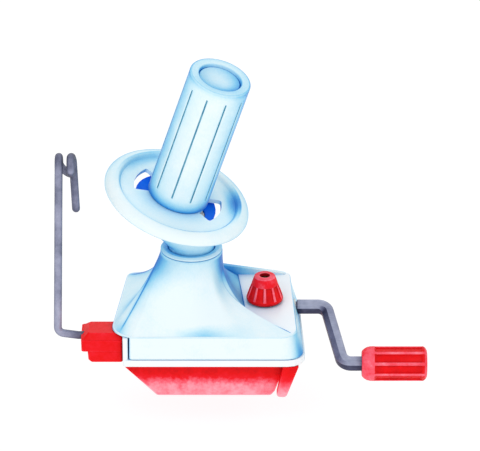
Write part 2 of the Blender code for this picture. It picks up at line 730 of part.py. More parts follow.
def rotor_head(material):
    """Round neck that swells into a tilted head under the flange."""
    rings = [at_height(circle(NECK_RADIUS - 0.8), 57.6), at_height(circle(NECK_RADIUS), 58.4)]
    rings += [at_height(circle(NECK_RADIUS), 68.5)]
    disc_centre = on_spool_axis(HEAD_TOP - 3.0)
    for i in range(1, 5):
        t = i / 4
        centre = Vector((0, 0, 68.5)).lerp(disc_centre, t)
        radius = NECK_RADIUS + (HEAD_RADIUS - NECK_RADIUS) * math.sin(t * math.pi / 2)
        normal = Vector((0, 0, 1)).lerp(SPOOL_AXIS, t)
        # The first ring's X axis is world X, so the hint keeps the rings from twisting.
        placement = frame(centre, normal, (1, 0, 0))
        rings.append([placement @ point for point in at_height(circle(radius), 0)])
    top = frame(on_spool_axis(HEAD_TOP), SPOOL_AXIS, (1, 0, 0))
    rings.append([top @ point for point in at_height(circle(HEAD_RADIUS), -0.8)])
    rings.append([top @ point for point in at_height(circle(HEAD_RADIUS - 0.8), 0)])
    head = add_object("rotor_head", loft(rings), material)
    planet_room = placed(prism(circle(PLANET_ROOM_RADIUS, 24), -48.4, HEAD_TOP + 3), SPOOL_FRAME)
    sun_room = prism(circle(11.4, 24), 82.6, 110)
    spindle_hole = placed(prism(circle(3.0, 16), -58.4, -40), SPOOL_FRAME)
    tube_hole = prism(circle(4.8, 20), 50, 73.2)
    post_hole = prism(circle(3.1, 16), 60, 100)
    cut(head, [planet_room, sun_room, spindle_hole, tube_hole, post_hole])


def rotor_plate(material):
    """Royal blue disc on the rotor head, open around the gears. It shows through the flange's windows."""
    disc = prism(circle(ROTOR_PLATE_RADIUS, 40), HEAD_TOP + GAP, ROTOR_PLATE_TOP)
    plate = add_object("rotor_plate", placed(disc, SPOOL_FRAME), material)
    planet_side = placed(prism(circle(PLANET_ROOM_RADIUS, 24), HEAD_TOP - 3, ROTOR_PLATE_TOP + 3), SPOOL_FRAME)
    sun_side = placed(prism(arc((0, 0), 9.2, -112, 112, 14), 78, 102), frame((0, 0, 0), (0, 0, 1), LEAN))
    cut(plate, [planet_side, sun_side])


def cone_angles():
    """Half angles of the sun and planet cones, whose sum is the tilt."""
    tilt = math.radians(TILT_DEG)
    sun = math.atan(math.sin(tilt) / (PLANET_TEETH / SUN_TEETH + math.cos(tilt)))
    return sun, tilt - sun


def sun_gear(material):
    sun, _ = cone_angles()
    placement = frame(APEX, (0, 0, -1), -LEAN)
    radius = CONE_DISTANCE * math.sin(sun)
    gear = bevel_gear(SUN_TEETH, radius, sun, CONE_FACE, CONE_TOOTH_DEPTHS, 2.9, (7.0, 0.6), 0)
    add_object("sun_gear", placed(gear, placement), material)


def planet_gear(material):
    _, planet = cone_angles()
    placement = frame(APEX, -SPOOL_AXIS, LEAN)
    radius = CONE_DISTANCE * math.sin(planet)
    half_tooth = 180.0 / PLANET_TEETH
    gear = bevel_gear(PLANET_TEETH, radius, planet, CONE_FACE, CONE_TOOTH_DEPTHS, 3.1, (5.6, 0.6), half_tooth)
    obj = add_object("planet_gear", placed(gear, placement), material, APEX)
    neck = lathe([(3.1, -42.0), (4.9, -42.0), (4.9, -27.0), (3.1, -27.0)], 16, hollow=True)
    join(obj, [placed(neck, SPOOL_FRAME)])


def spool_flange(material):
    """Dish with a thick rounded rim and two curved windows."""
    floor = FLOOR_TOP
    top_curve = []
    for i in range(4):
        angle = math.pi / 2 * i / 3
        radius = 42.2 + (FLANGE_RADIUS - 42.2) * math.sin(angle)
        top_curve.append((radius, floor - 3.0 + 5.4 * math.cos(angle)))
    profile = [(5.2, floor - 3.0), (5.2, floor), (39.6, floor), (41.2, floor + 1.9)]
    profile += top_curve
    profile += [(48.8, floor - 4.9), (45.5, floor - 5.6), (39.5, floor - 3.2)]
    flange = add_object("spool_flange", placed(lathe(profile, 52, hollow=True), SPOOL_FRAME), material, APEX)
    windows = []
    for turn in (0, 180):
        outer = arc((0, 0), 30.5, WINDOW_DEG - 27 + turn, WINDOW_DEG + 27 + turn, 8)
        inner = arc((0, 0), 19.5, WINDOW_DEG + 27 + turn, WINDOW_DEG - 27 + turn, 6)
        windows.append(placed(prism(outer + inner, floor - 5, floor + 2), SPOOL_FRAME))
    cut(flange, windows)


def spool_core(material):
    """Straight tube with an inward lip at the top and shallow grooves along its side."""
    profile = [
        (17.8, CORE_BOTTOM),
        (CORE_RADIUS, CORE_BOTTOM),
        (CORE_RADIUS, CORE_TOP - 0.7),
        (CORE_RADIUS - 0.8, CORE_TOP),
        (14.4, CORE_TOP),
        (14.0, CORE_TOP - 8.0),
        (17.8, CORE_TOP - 11.0),
    ]
    core = add_object("spool_core", placed(lathe(profile, 40, hollow=True), SPOOL_FRAME), material, APEX)
    grooves = []
    for i in range(GROOVES):
        slot = block(-0.6, 0.6, CORE_BOTTOM + 9.2, CORE_TOP - 7.4, -1, 1, 0.4, 1)
        facing = Matrix.Rotation(math.radians(GROOVE_DEG + 360 * i / GROOVES), 4, "Z")
        lying = frame((CORE_RADIUS + 0.15, 0, 0), (1, 0, 0), (0, 1, 0))
        grooves.append(placed(placed(slot, lying), SPOOL_FRAME @ facing))
    cut(core, grooves)


def spool_inserts(material, nylon):
    dish = [
        (13.5, CORE_TOP - 7.0),
        (13.8, CORE_TOP - 2.6),
        (13.4, CORE_TOP - 2.2),
        (12.0, CORE_TOP - 2.9),
        (7.0, CORE_TOP - 4.9),
        (2.0, CORE_TOP - 5.5),
    ]
    plug = lathe(dish, 28)
    add_object("spool_end_plug", placed(plug, SPOOL_FRAME), material, APEX)
    profile = [
        (3.1, 38.0),
        (5.4, 38.0),
        (6.0, 44.0),
        (17.4, 44.5),
        (17.4, 48.0),
        (6.0, 48.5),
        (3.1, 50.0),
    ]
    add_object("spool_upper_bush", placed(lathe(profile, 20, hollow=True), SPOOL_FRAME), nylon, APEX)
    lower = [(5.2, -30.2), (17.4, -30.2), (17.4, -27.6), (6.8, -26.6), (6.8, -20.0), (5.2, -20.0)]
    add_object("spool_lower_bush", placed(lathe(lower, 20, hollow=True), SPOOL_FRAME), nylon, APEX)


# ---------------------------------------------------------------- clamp


def clamp_knob(material, brass):
    ribs = 10
    count = len(tooth_angles(ribs, 0))
    sleeve_hole = circle(4.6, count, -90)
    top_hole = circle(3.3, count, -90)
    stations = [
        (0.0, 11.8, 11.8),
        (2.2, 12.4, 12.4),
        (3.0, 12.3, 11.2),
        (11.4, 9.2, 8.2),
        (12.2, 8.9, 8.7),
        (KNOB_HEIGHT, 6.8, 6.8),
    ]
    rings = [at_height(sleeve_hole, 0.0)]
    rings += [at_height(toothed_outline(ribs, rib, panel, -90, 0.26, 0.58), z) for z, rib, panel in stations]
    rings += [at_height(top_hole, KNOB_HEIGHT), at_height(top_hole, 16.0), at_height(sleeve_hole, 16.0)]
    knob = loft(rings, hollow=True)
    bmesh.ops.translate(knob, vec=KNOB, verts=knob.verts)
    add_object("clamp_knob", knob, material, KNOB)
    sleeve = lathe([(3.1, -10.0), (4.4, -10.0), (4.4, 15.7), (3.1, 15.7)], 16, hollow=True)
    bmesh.ops.translate(sleeve, vec=KNOB, verts=sleeve.verts)
    add_object("knob_thread_sleeve", sleeve, brass, KNOB)


def clamp_jaw_parts(red, rubber, steel):
    """Red jaw under the base, hung on the bolt. Its ends slope in toward the bottom."""
    outline = [(-45.2, JAW_TOP), (-45.2, JAW_TOP - 1.4)]
    outline += [(-23.4, JAW_BOTTOM + 0.4), (-22.2, JAW_BOTTOM), (52.2, JAW_BOTTOM), (53.6, JAW_BOTTOM + 0.5)]
    outline += [(55.8, JAW_BOTTOM + 3.2), (62.4, JAW_TOP - 1.2), (62.6, JAW_TOP)]
    pivot = (KNOB.x, KNOB.y, JAW_BOTTOM)
    jaw = placed(
        prism(outline, -JAW_HALF_DEPTH, JAW_HALF_DEPTH), frame((0, 0, 0), (0, -1, 0), (1, 0, 0))
    )
    obj = add_object("clamp_jaw", jaw, red, pivot)
    pocket = block(-38.0, 36.0, -31.0, 31.0, JAW_TOP - 1.5, JAW_TOP + 2, 4.0, 3)
    bolt_hole = rod((KNOB.x, KNOB.y, HEAD_SLOT_TOP - 1), (KNOB.x, KNOB.y, JAW_TOP + 2), 3.1)
    shank_slot = block(KNOB.x - 0.1, 80, KNOB.y - 3.1, KNOB.y + 3.1, HEAD_SLOT_TOP - 1, JAW_TOP + 2, 0.02, 1)
    head_slot = block(KNOB.x - 6.3, 80, KNOB.y - 5.6, KNOB.y + 5.6, HEAD_SLOT_TOP - 5.6, HEAD_SLOT_TOP, 0.5, 1)
    cut(obj, [pocket, bolt_hole, shank_slot, head_slot])
    pad = block(-37.7, 35.7, -30.7, 30.7, JAW_TOP - 1.2, JAW_TOP + 0.3, 3.7, 3)
    add_object("jaw_pad", pad, rubber, pivot)
    hexagon = circle(5.9, 6)
    bolt_top = KNOB.z + 15.2
    bolt = prism(hexagon, HEAD_SLOT_TOP - 5.2, HEAD_SLOT_TOP - GAP)
    bmesh.ops.translate(bolt, vec=(KNOB.x, KNOB.y, 0), verts=bolt.verts)
    obj = add_object("clamp_bolt", bolt, steel, pivot)
    shank = rod((KNOB.x, KNOB.y, HEAD_SLOT_TOP - 4), (KNOB.x, KNOB.y, bolt_top), BOLT_RADIUS)
    join(obj, [shank])


# ---------------------------------------------------------------- yarn guide


def guide_arm(material):
    """One bent wire: pivot leg, upright, one and a half turn eye and a hanging tail."""
    coil = 5.5
    coil_y = ARM_Y + coil
    coil_z = ARM_TOP - coil - ARM_RADIUS
    pitch = 7.8
    corners = [
        (-52.6, ARM_Y, ARM_Z),
        (-75.5, ARM_Y, ARM_Z),
        (ARM_X, ARM_Y, ARM_Z + 2.0),
        (ARM_TOP_X, ARM_Y, coil_z),
    ]
    path = bent_path(corners, [8.0, 4.6])
    turns_deg = 540
    steps = 27
    for i in range(1, steps + 1):
        angle = turns_deg * i / steps
        crossing = min(max((angle - 185) / 120, 0), 1)
        shift = pitch * (3 * crossing**2 - 2 * crossing**3)
        leaving = min(max((angle - 450) / 90, 0), 1)
        shift += 1.2 * leaving
        turn = math.radians(angle)
        path.append(Vector((ARM_TOP_X + shift, coil_y - coil * math.cos(turn), coil_z + coil * math.sin(turn))))
    tail = path[-1]
    path.append(tail + Vector((0.6, 0, -16.0)))
    path.append(tail + Vector((1.5, 0, -36.5)))
    rings = sweep_rings(path, circle(ARM_RADIUS, 12), (0, 1, 0))
    add_object("guide_arm", loft(rings), material, (-60.0, ARM_Y, ARM_Z), 50)


def build():
    clear_scene()
    ice = make_material("ice_blue_plastic", (0.62, 0.86, 0.95), 0.35)
    white = make_material("white_plastic", (0.9, 0.93, 0.95), 0.4)
    royal = make_material("royal_blue_plastic", (0.01, 0.12, 0.65), 0.4)
    red = make_material("red_plastic", (0.75, 0.01, 0.03), 0.35)
    nylon = make_material("white_nylon", (0.85, 0.84, 0.78), 0.5)
    steel = make_material("bright_steel", (0.55, 0.6, 0.65), 0.3, 1.0)
    wire = make_material("dark_steel_wire", (0.22, 0.22, 0.32), 0.4, 0.8)
    brass = make_material("brass", (0.75, 0.58, 0.25), 0.3, 1.0)
    rubber = make_material("black_rubber", (0.04, 0.04, 0.045), 0.8)

    base_plate(white)
    housing_cover(ice)
    collar_bush(ice)
    center_post(steel)
    sun_gear(nylon)
    layshaft_pin(steel)
    crank_bush(nylon)
    guide_arm_holder(red)
    clamp_legs(red)
    cover_screws(steel)
    crank_parts(steel, brass, red)
    layshaft_parts(nylon, brass)
    rotor_parts(ice, royal, nylon, steel)
    spool_core(ice)
    spool_flange(ice)
    spool_inserts(ice, nylon)
    planet_gear(nylon)
    clamp_knob(red, brass)
    clamp_jaw_parts(red, rubber, steel)
    guide_arm(wire)


build()
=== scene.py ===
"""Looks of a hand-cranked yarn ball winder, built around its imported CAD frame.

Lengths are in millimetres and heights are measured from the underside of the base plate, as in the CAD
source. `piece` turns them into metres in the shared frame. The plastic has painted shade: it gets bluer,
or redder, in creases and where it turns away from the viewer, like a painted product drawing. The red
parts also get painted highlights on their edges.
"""

import math

import bmesh
import bpy
from mathutils import Matrix, Vector


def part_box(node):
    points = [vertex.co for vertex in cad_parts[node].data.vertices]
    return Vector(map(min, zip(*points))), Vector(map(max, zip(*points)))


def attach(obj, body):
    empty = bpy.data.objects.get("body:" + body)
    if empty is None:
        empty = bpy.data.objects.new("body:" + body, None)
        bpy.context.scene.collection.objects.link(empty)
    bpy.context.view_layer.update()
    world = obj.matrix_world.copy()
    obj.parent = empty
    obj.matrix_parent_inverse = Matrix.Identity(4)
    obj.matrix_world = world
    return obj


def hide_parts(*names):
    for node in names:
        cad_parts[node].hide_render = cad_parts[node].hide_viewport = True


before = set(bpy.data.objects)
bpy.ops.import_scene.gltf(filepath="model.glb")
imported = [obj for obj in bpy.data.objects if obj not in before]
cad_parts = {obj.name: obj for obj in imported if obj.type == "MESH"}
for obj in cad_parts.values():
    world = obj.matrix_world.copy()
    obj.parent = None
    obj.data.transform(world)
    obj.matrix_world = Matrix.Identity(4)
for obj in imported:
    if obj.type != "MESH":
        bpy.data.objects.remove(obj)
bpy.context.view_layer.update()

MM = 0.001
SEGMENTS = 128

# Base plate and housing, seen from above: a box that is wider at the front than at the back.
FRONT_Y = -47.0
BACK_Y = 47.0
HOUSING_BOTTOM = 4.9
DECK_FRONT_Z = 21.7
DECK_BACK_Z = 25.0
WALL = 2.6
SIDE_X = -41.9
SKIRT_Z = 20.7
END_FACE_X = -45.6
TOWER_TOP = 64.5
TOWER_TOP_RADIUS = 20.8
TOP_ROUNDING = 0.8
EDGE_ROUNDING = 0.9
BORE_RADIUS = 17.9
COLLAR_TOP = 66.9
NECK_RADIUS = 15.5

# How the bell sweeps from foot to top: (angle at the foot, angle at the top, power of the sweep).
TOWER_SWEEP = (
    (-140.2, -174.5, 1.25),
    (-90.0, -90.0, 1.6),
    (-60.0, -55.0, 2.2),
    (-31.5, -20.0, 4.8),
    (-19.9, -6.0, 2.7),
    (15.0, 15.0, 2.4),
    (55.0, 50.0, 2.0),
    (90.0, 90.0, 1.8),
    (136.4, 165.0, 2.1),
    (178.0, 175.2, 2.3),
    (219.8, 185.5, 1.25),
)
FRONT_LEFT_RIDGE = -140.2
RIGHT_RIDGE = -19.9
BACK_RIGHT_RIDGE = 55.0
BACK_LEFT_RIDGE = 136.4

# Tilted spool.
APEX = Vector((0.0, 0.0, 131.0))
LEAN_DEG = -31.7
TILT_DEG = 20.0
FLANGE_RADIUS = 50.0
CORE_RADIUS = 20.75
CORE_BOTTOM = -30.4
CORE_TOP = 68.2
FLOOR_TOP = -30.7
HEAD_TOP = -38.0
HEAD_RADIUS = 26.0
WINDOW_DEG = 16.25
GROOVES = 10
GROOVE_DEG = -3.75

# Crank.
CRANK_Y = 18.0
CRANK_Z = 12.2
CRANK_RADIUS = 50.0
CRANK_SWING_DEG = 66.9
SHAFT_END_X = 26.2
SHAFT_STEP_X = 30.5
GRIP_START = 114.2
GRIP_LENGTH = 43.8
GRIP_RADIUS = 11.7

# Clamp.
KNOB = Vector((49.2, 5.0, 24.3))
KNOB_HEIGHT = 18.1
JAW_TOP = -2.9
JAW_BOTTOM = -26.3
JAW_HALF_DEPTH = 37.5
HEAD_SLOT_TOP = -10.6
JAW_OPENING = 25.0
STAND_HEIGHT = -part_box("clamp_jaw")[0].z / MM - JAW_BOTTOM

# Yarn guide.
ARM_Y = -29.0
ARM_Z = 14.6
ARM_X = -89.3
ARM_TOP_X = -86.4
ARM_RADIUS = 2.65
ARM_TOP = 145.1

# Studio, in metres: (name, place, size, watts) of each light, and a long lens square to the long side.
LIGHTS = (
    ("key", (-0.55, -0.9, 1.25), 0.9, 5.0),
    ("fill", (1.1, -0.7, 0.8), 1.1, 2.0),
    ("back", (0.1, 1.2, 0.9), 1.2, 3.0),
)
FLOOR_HALF_SIZE = 12.0
CAMERA_LENS = 292.3
CAMERA_RISE_DEG = 25.5
CAMERA_PLACE = (0.0325, -2.35044, 1.22934)


# ---------------- outlines and solids


def polar(radius, angle_deg, centre=(0.0, 0.0)):
    angle = math.radians(angle_deg)
    return (centre[0] + radius * math.cos(angle), centre[1] + radius * math.sin(angle))


def sine_pairs(*angles_deg):
    """(Sine, cosine) of each angle, for edges rounded in a few steps."""
    return [(math.sin(math.radians(angle)), math.cos(math.radians(angle))) for angle in angles_deg]


def arc(centre, radius, start_deg, end_deg, steps):
    return [polar(radius, start_deg + (end_deg - start_deg) * i / steps, centre) for i in range(steps + 1)]


def circle(radius, count=SEGMENTS, phase_deg=0.0):
    return arc((0, 0), radius, phase_deg, phase_deg + 360, count)[:-1]


def corner_arc(before, here, after, radius):
    """Centre of the arc that rounds a corner, and the points where it starts and ends."""
    here = Vector(here)
    back = (Vector(before) - here).normalized()
    ahead = (Vector(after) - here).normalized()
    half = back.angle(ahead) / 2
    centre = here + (back + ahead).normalized() * radius / math.sin(half)
    return centre, here + back * radius / math.tan(half), here + ahead * radius / math.tan(half)


def rounded_polygon(corners, radii, steps=8):
    """A closed outline with each corner replaced by an arc of its own radius."""
    points = []
    for i, corner in enumerate(corners):
        following = corners[(i + 1) % len(corners)]
        centre, first, last = corner_arc(corners[i - 1], corner, following, radii[i])
        start = math.atan2(first.y - centre.y, first.x - centre.x)
        turn = math.atan2(last.y - centre.y, last.x - centre.x) - start
        turn = (turn + math.pi) % (2 * math.pi) - math.pi
        points += arc(centre, radii[i], math.degrees(start), math.degrees(start + turn), steps)
    return points


def box_outline(x0, x1, y0, y1, radius, steps=6):
    return rounded_polygon([(x0, y0), (x1, y0), (x1, y1), (x0, y1)], [radius] * 4, steps)


def at_height(outline, z):
    return [Vector((x, y, z)) for x, y in outline]


def loft(rings, hollow=False, shades=None):
    """A closed solid through rings of equal length. `shades` holds each vertex's painted depth."""
    bm = bmesh.new()
    layer = bm.verts.layers.float.new("shade")
    made = [[bm.verts.new(point) for point in ring] for ring in rings]
    if shades:
        for ring, values in zip(made, shades):
            for vertex, value in zip(ring, values):
                vertex[layer] = value
    count = len(rings[0])
    pairs = list(zip(made, made[1:]))
    if hollow:
        pairs.append((made[-1], made[0]))
    else:
        bm.faces.new(reversed(made[0]))
        bm.faces.new(made[-1])
    for lower, upper in pairs:
        for i in range(count):
            j = (i + 1) % count
            bm.faces.new((lower[i], lower[j], upper[j], upper[i]))
    bmesh.ops.recalc_face_normals(bm, faces=bm.faces)
    return bm


def prism(outline, z0, z1):
    return loft([at_height(outline, z0), at_height(outline, z1)])


def lathe(profile, count=SEGMENTS, hollow=False):
    """Turns (radius, z) points about the Z axis."""
    return loft([at_height(circle(radius, count), z) for radius, z in profile], hollow)


def soft_lathe(corners, radius, count=SEGMENTS):
    """A turned ring whose profile corners are all rounded."""
    return lathe(rounded_polygon(corners, [radius] * len(corners), 5), count, hollow=True)


def placement_of(origin, z_axis, x_hint):
    """A placement whose Z and X axes point as given. X is made square to Z."""
    z = Vector(z_axis).normalized()
    x = Vector(x_hint)
    x = (x - z * x.dot(z)).normalized()
    placement = Matrix((x, z.cross(x), z)).transposed().to_4x4()
    placement.translation = Vector(origin)
    return placement


def placed(bm, placement):
    bmesh.ops.transform(bm, matrix=placement, verts=bm.verts)
    return bm


# Outlines drawn from the front, (x, height), with their thickness toward the viewer.
SIDE_VIEW = placement_of((0, 0, 0), (0, -1, 0), (1, 0, 0))


def bent_path(corners, radii, steps=16):
    """A polyline in space whose inner corners are replaced by arcs."""
    points = [Vector(corners[0])]
    for before, here, after, radius in zip(corners, corners[1:], corners[2:], radii):
        centre, first, last = corner_arc(before, here, after, radius)
        for k in range(steps + 1):
            points.append(centre + (first - centre).slerp(last - centre, k / steps).normalized() * radius)
    points.append(Vector(corners[-1]))
    return points


def frames_along(path, side):
    """(Point, side, other side) along a path, without twist. The first side is made square to it."""
    frames = []
    side = Vector(side)
    for i, point in enumerate(path):
        ahead = path[min(i + 1, len(path) - 1)] - path[max(i - 1, 0)]
        ahead.normalize()
        side = (side - ahead * side.dot(ahead)).normalized()
        frames.append((point, side, ahead.cross(side)))
    return frames


def in_frame(frame, outline):
    point, side, other = frame
    return [point + side * x + other * y for x, y in outline]


def rod(start, end, radius, count=48):
    axis = Vector(end) - Vector(start)
    hint = Vector((0, 0, 1)) if abs(axis.normalized().z) < 0.9 else Vector((1, 0, 0))
    return placed(prism(circle(radius, count), 0, axis.length), placement_of(start, axis, hint))


def block(x0, x1, y0, y1, z0, z1, radius=0.6, steps=4):
    return prism(box_outline(x0, x1, y0, y1, radius, steps), z0, z1)


def smoothstep(value):
    value = min(max(value, 0.0), 1.0)
    return value * value * (3 - 2 * value)


def hump(value, width):
    """1 at zero, falling smoothly on both sides."""
    return math.exp(-((value / width) ** 2))


# ---------------- pieces and their bodies


def new_object(name, data):
    obj = bpy.data.objects.new(name, data)
    bpy.context.scene.collection.objects.link(obj)
    return obj


def piece(name, bm, materials, body=None, node=None, smooth_deg=38.0):
    """Makes a visible piece in the shared frame. It rides on a body and stands for a CAD node."""
    lift = Matrix.Scale(MM, 4) @ Matrix.Translation((0, 0, STAND_HEIGHT))
    bmesh.ops.transform(bm, matrix=lift, verts=bm.verts)
    mesh = bpy.data.meshes.new(name)
    bm.to_mesh(mesh)
    bm.free()
    obj = new_object(name, mesh)
    for material in materials:
        mesh.materials.append(material)
    mesh.shade_smooth()
    mesh.set_sharp_from_angle(angle=math.radians(smooth_deg))
    if body:
        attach(obj, body)
        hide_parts(node)
    return obj


def cut(obj, helpers, smooth_deg=38.0):
    """Cuts helper solids out of a piece and bakes the result."""
    made = []
    for i, bm in enumerate(helpers):
        helper = piece(f"{obj.name}_cutter_{i}", bm, list(obj.data.materials))
        made.append(helper)
        modifier = obj.modifiers.new(f"cut_{i}", "BOOLEAN")
        modifier.operation = "DIFFERENCE"
        modifier.solver = "EXACT"
        modifier.object = helper
    bpy.context.view_layer.update()
    graph = bpy.context.evaluated_depsgraph_get()
    baked = bpy.data.meshes.new_from_object(obj.evaluated_get(graph))
    obj.modifiers.clear()
    obj.data = baked
    baked.shade_smooth()
    baked.set_sharp_from_angle(angle=math.radians(smooth_deg))
    for helper in made:
        bpy.data.objects.remove(helper)


def soften(obj, width, angle_deg=30.0, segments=3):
    """Rounds a piece's sharp edges the way a mould would."""
    modifier = obj.modifiers.new("soft_edges", "BEVEL")
    modifier.width = width * MM
    modifier.segments = segments
    modifier.limit_method = "ANGLE"
    modifier.angle_limit = math.radians(angle_deg)
    modifier.harden_normals = True


def dress(material, *nodes):
    """Gives CAD nodes that stay visible their finished material."""
    for node in nodes:
        for material_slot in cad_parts[node].material_slots:
            material_slot.material = material


def paint_faces(bm, test, index):
    """Gives material number `index` to the faces whose centre passes the test."""
    for face in bm.faces:
        if test(face.calc_center_median()):
            face.material_index = index


def shade_by(bm, depth_at):
    """Sets the painted depth of each vertex from its position."""
    layer = bm.verts.layers.float["shade"]
    for vertex in bm.verts:
        vertex[layer] = depth_at(vertex.co)


# ---------------- materials


def rgb(code):
    """Linear colour of a hexadecimal screen colour."""
    linear = []
    for shift in (16, 8, 0):
        level = ((code >> shift) & 255) / 255
        linear.append(level / 12.92 if level <= 0.04045 else ((level + 0.055) / 1.055) ** 2.4)
    return (*linear, 1.0)


class Shader:
    """A node material under construction. Most methods add nodes and return an output socket."""

    def __init__(self, name):
        self.material = bpy.data.materials.new(name)
        self.material.use_nodes = True
        self.tree = self.material.node_tree
        self.surface = self.tree.nodes["Principled BSDF"]
        self.place = self.add("TexCoord").outputs["Object"]

    def add(self, kind, inputs=None, **settings):
        node = self.tree.nodes.new("ShaderNode" + kind)
        for key, value in settings.items():
            setattr(node, key, value)
        for key, value in (inputs or {}).items():
            self.feed(node.inputs[key], value)
        return node

    def feed(self, socket, value):
        if isinstance(value, bpy.types.NodeSocket):
            self.tree.links.new(value, socket)
        else:
            socket.default_value = value

    def set(self, **values):
        for key, value in values.items():
            self.feed(self.surface.inputs[key.replace("_", " ")], value)

    def math(self, operation, first, second=0.0, clamp=False):
        return self.add("Math", {0: first, 1: second}, operation=operation, use_clamp=clamp).outputs[0]

    def total(self, *terms):
        """Sum of (socket, weight) terms and plain numbers, clamped to 0..1."""
        result = 0.0
        for term in terms:
            if isinstance(term, tuple):
                term = self.math("MULTIPLY", *term)
            result = self.math("ADD", term, result)
        return self.math("ADD", result, 0.0, clamp=True)

    def noise(self, size_mm, detail=3.0, roughness=0.5, stretch=(1, 1, 1)):
        """Cloudy pattern, centred on 0, whose features are about size_mm across."""
        scaled = self.add("Mapping", {"Vector": self.place, "Scale": stretch}).outputs[0]
        inputs = {"Vector": scaled, "Scale": 1 / (size_mm * MM), "Detail": detail, "Roughness": roughness}
        return self.math("SUBTRACT", self.add("TexNoise", inputs).outputs["Fac"], 0.5)

    def occlusion(self, reach_mm, inside=False):
        """0 in the open, rising in creases. Inside the solid it rises along convex edges instead."""
        inputs = {"Distance": reach_mm * MM}
        node = self.add("AmbientOcclusion", inputs, samples=8, inside=inside, only_local=inside)
        return self.math("SUBTRACT", 1.0, node.outputs["AO"])

    def turned_away(self, power=2.0):
        """0 where the surface faces the viewer, 1 at its silhouette."""
        facing = self.add("LayerWeight", {"Blend": 0.5}).outputs["Facing"]
        return self.math("POWER", facing, power)

    def painted(self):
        """The depth painted on the mesh, 0 where a mesh has none."""
        return self.add("Attribute", attribute_name="shade").outputs["Fac"]

    def colour(self, terms, *stops):
        """Base colour from a ramp of (position, screen colour) stops, read at the total of the terms."""
        node = self.add("ValToRGB", {"Fac": self.total(*terms)})
        elements = node.color_ramp.elements
        while len(elements) < len(stops):
            elements.new(0.5)
        for element, (position, code) in zip(elements, stops):
            element.position = position
            element.color = rgb(code)
        self.set(Base_Color=node.outputs["Color"])

    def finish(self, pattern, low, high, depth_mm, strength, *heights, **others):
        """Roughness between low and high, a bump from (pattern, weight) heights and any other inputs."""
        spread = self.math("MULTIPLY", pattern, high - low)
        self.set(Roughness=self.math("ADD", spread, (low + high) / 2, clamp=True), **others)
        height = self.total(0.5, *(heights or [(pattern, 0.5)]))
        inputs = {"Height": height, "Distance": depth_mm * MM, "Strength": strength}
        self.set(Normal=self.add("Bump", inputs).outputs["Normal"])
        return self.material


def ice_plastic(name, lift=0.0, silhouette_shade_power=2.4, silhouette_shade_weight=0.72):
    """Pale blue moulded plastic. Painted shade deepens it in creases, along ridges and at silhouettes."""
    s = Shader(name)
    cloud = s.noise(22, 4)
    grain = s.noise(1.3, 4, 0.7, (1, 1, 0.55))
    fibre = s.noise(0.35, 2)
    terms = (
        lift - 0.02,
        (s.occlusion(14), 0.5),
        (s.occlusion(2.5), 0.16),
        (s.turned_away(silhouette_shade_power), silhouette_shade_weight),
        (s.turned_away(12.0), 0.25),
        (s.painted(), 1.0),
        (cloud, 0.3),
        (grain, 0.16),
    )
    s.colour(terms, (0.0, 0xF0FCFF), (0.2, 0xD3F2FD), (0.5, 0x8AD3F4), (0.78, 0x45A4E6), (1.0, 0x1C7BD2))
    sheen = {"Specular_IOR_Level": 0.3, "Coat_Weight": 0.06}
    return s.finish(grain, 0.3, 0.55, 0.05, 0.5, (grain, 0.5), (fibre, 0.3), **sheen)


def groove_shade_plastic(name):
    """Floor of the core's grooves, painted a darker, greyer teal than the rest as shade in the groove."""
    s = Shader(name)
    cloud = s.noise(6, 3)
    grain = s.noise(1.3, 4, 0.7)
    terms = (0.45, (cloud, 1.2), (grain, 0.4))
    s.colour(terms, (0.0, 0x9CD3E2), (0.5, 0x67B4CE), (1.0, 0x3C93B8))
    return s.finish(grain, 0.35, 0.6, 0.03, 0.4, Specular_IOR_Level=0.2)


def deck_plastic(name):
    """The pale top of the housing, blue with painted shade only where something stands on it."""
    s = Shader(name)
    cloud = s.noise(26, 3)
    grain = s.noise(1.3, 4, 0.7, (1, 1, 0.55))
    terms = (0.0, (s.occlusion(10), 0.6), (s.painted(), 0.9), (cloud, 0.22), (grain, 0.1))
    s.colour(terms, (0.0, 0xF4FBFF), (0.3, 0xE0EEFD), (0.6, 0xA9D6F6), (1.0, 0x4FA0E0))
    return s.finish(grain, 0.3, 0.55, 0.05, 0.4, Specular_IOR_Level=0.35, Coat_Weight=0.08)


def white_plastic(name):
    s = Shader(name)
    cloud = s.noise(18, 3)
    grain = s.noise(1.2, 4, 0.7)
    # Painted shade: bluer grey in creases and toward its silhouettes.
    terms = (0.0, (s.occlusion(6), 0.5), (s.turned_away(4.0), 0.5), (cloud, 0.3), (grain, 0.14))
    s.colour(terms, (0.0, 0xF8FDFF), (0.35, 0xDCF0FA), (0.7, 0xABCFEA), (1.0, 0x7F9CCB))
    return s.finish(grain, 0.35, 0.6, 0.05, 0.4, Specular_IOR_Level=0.35)


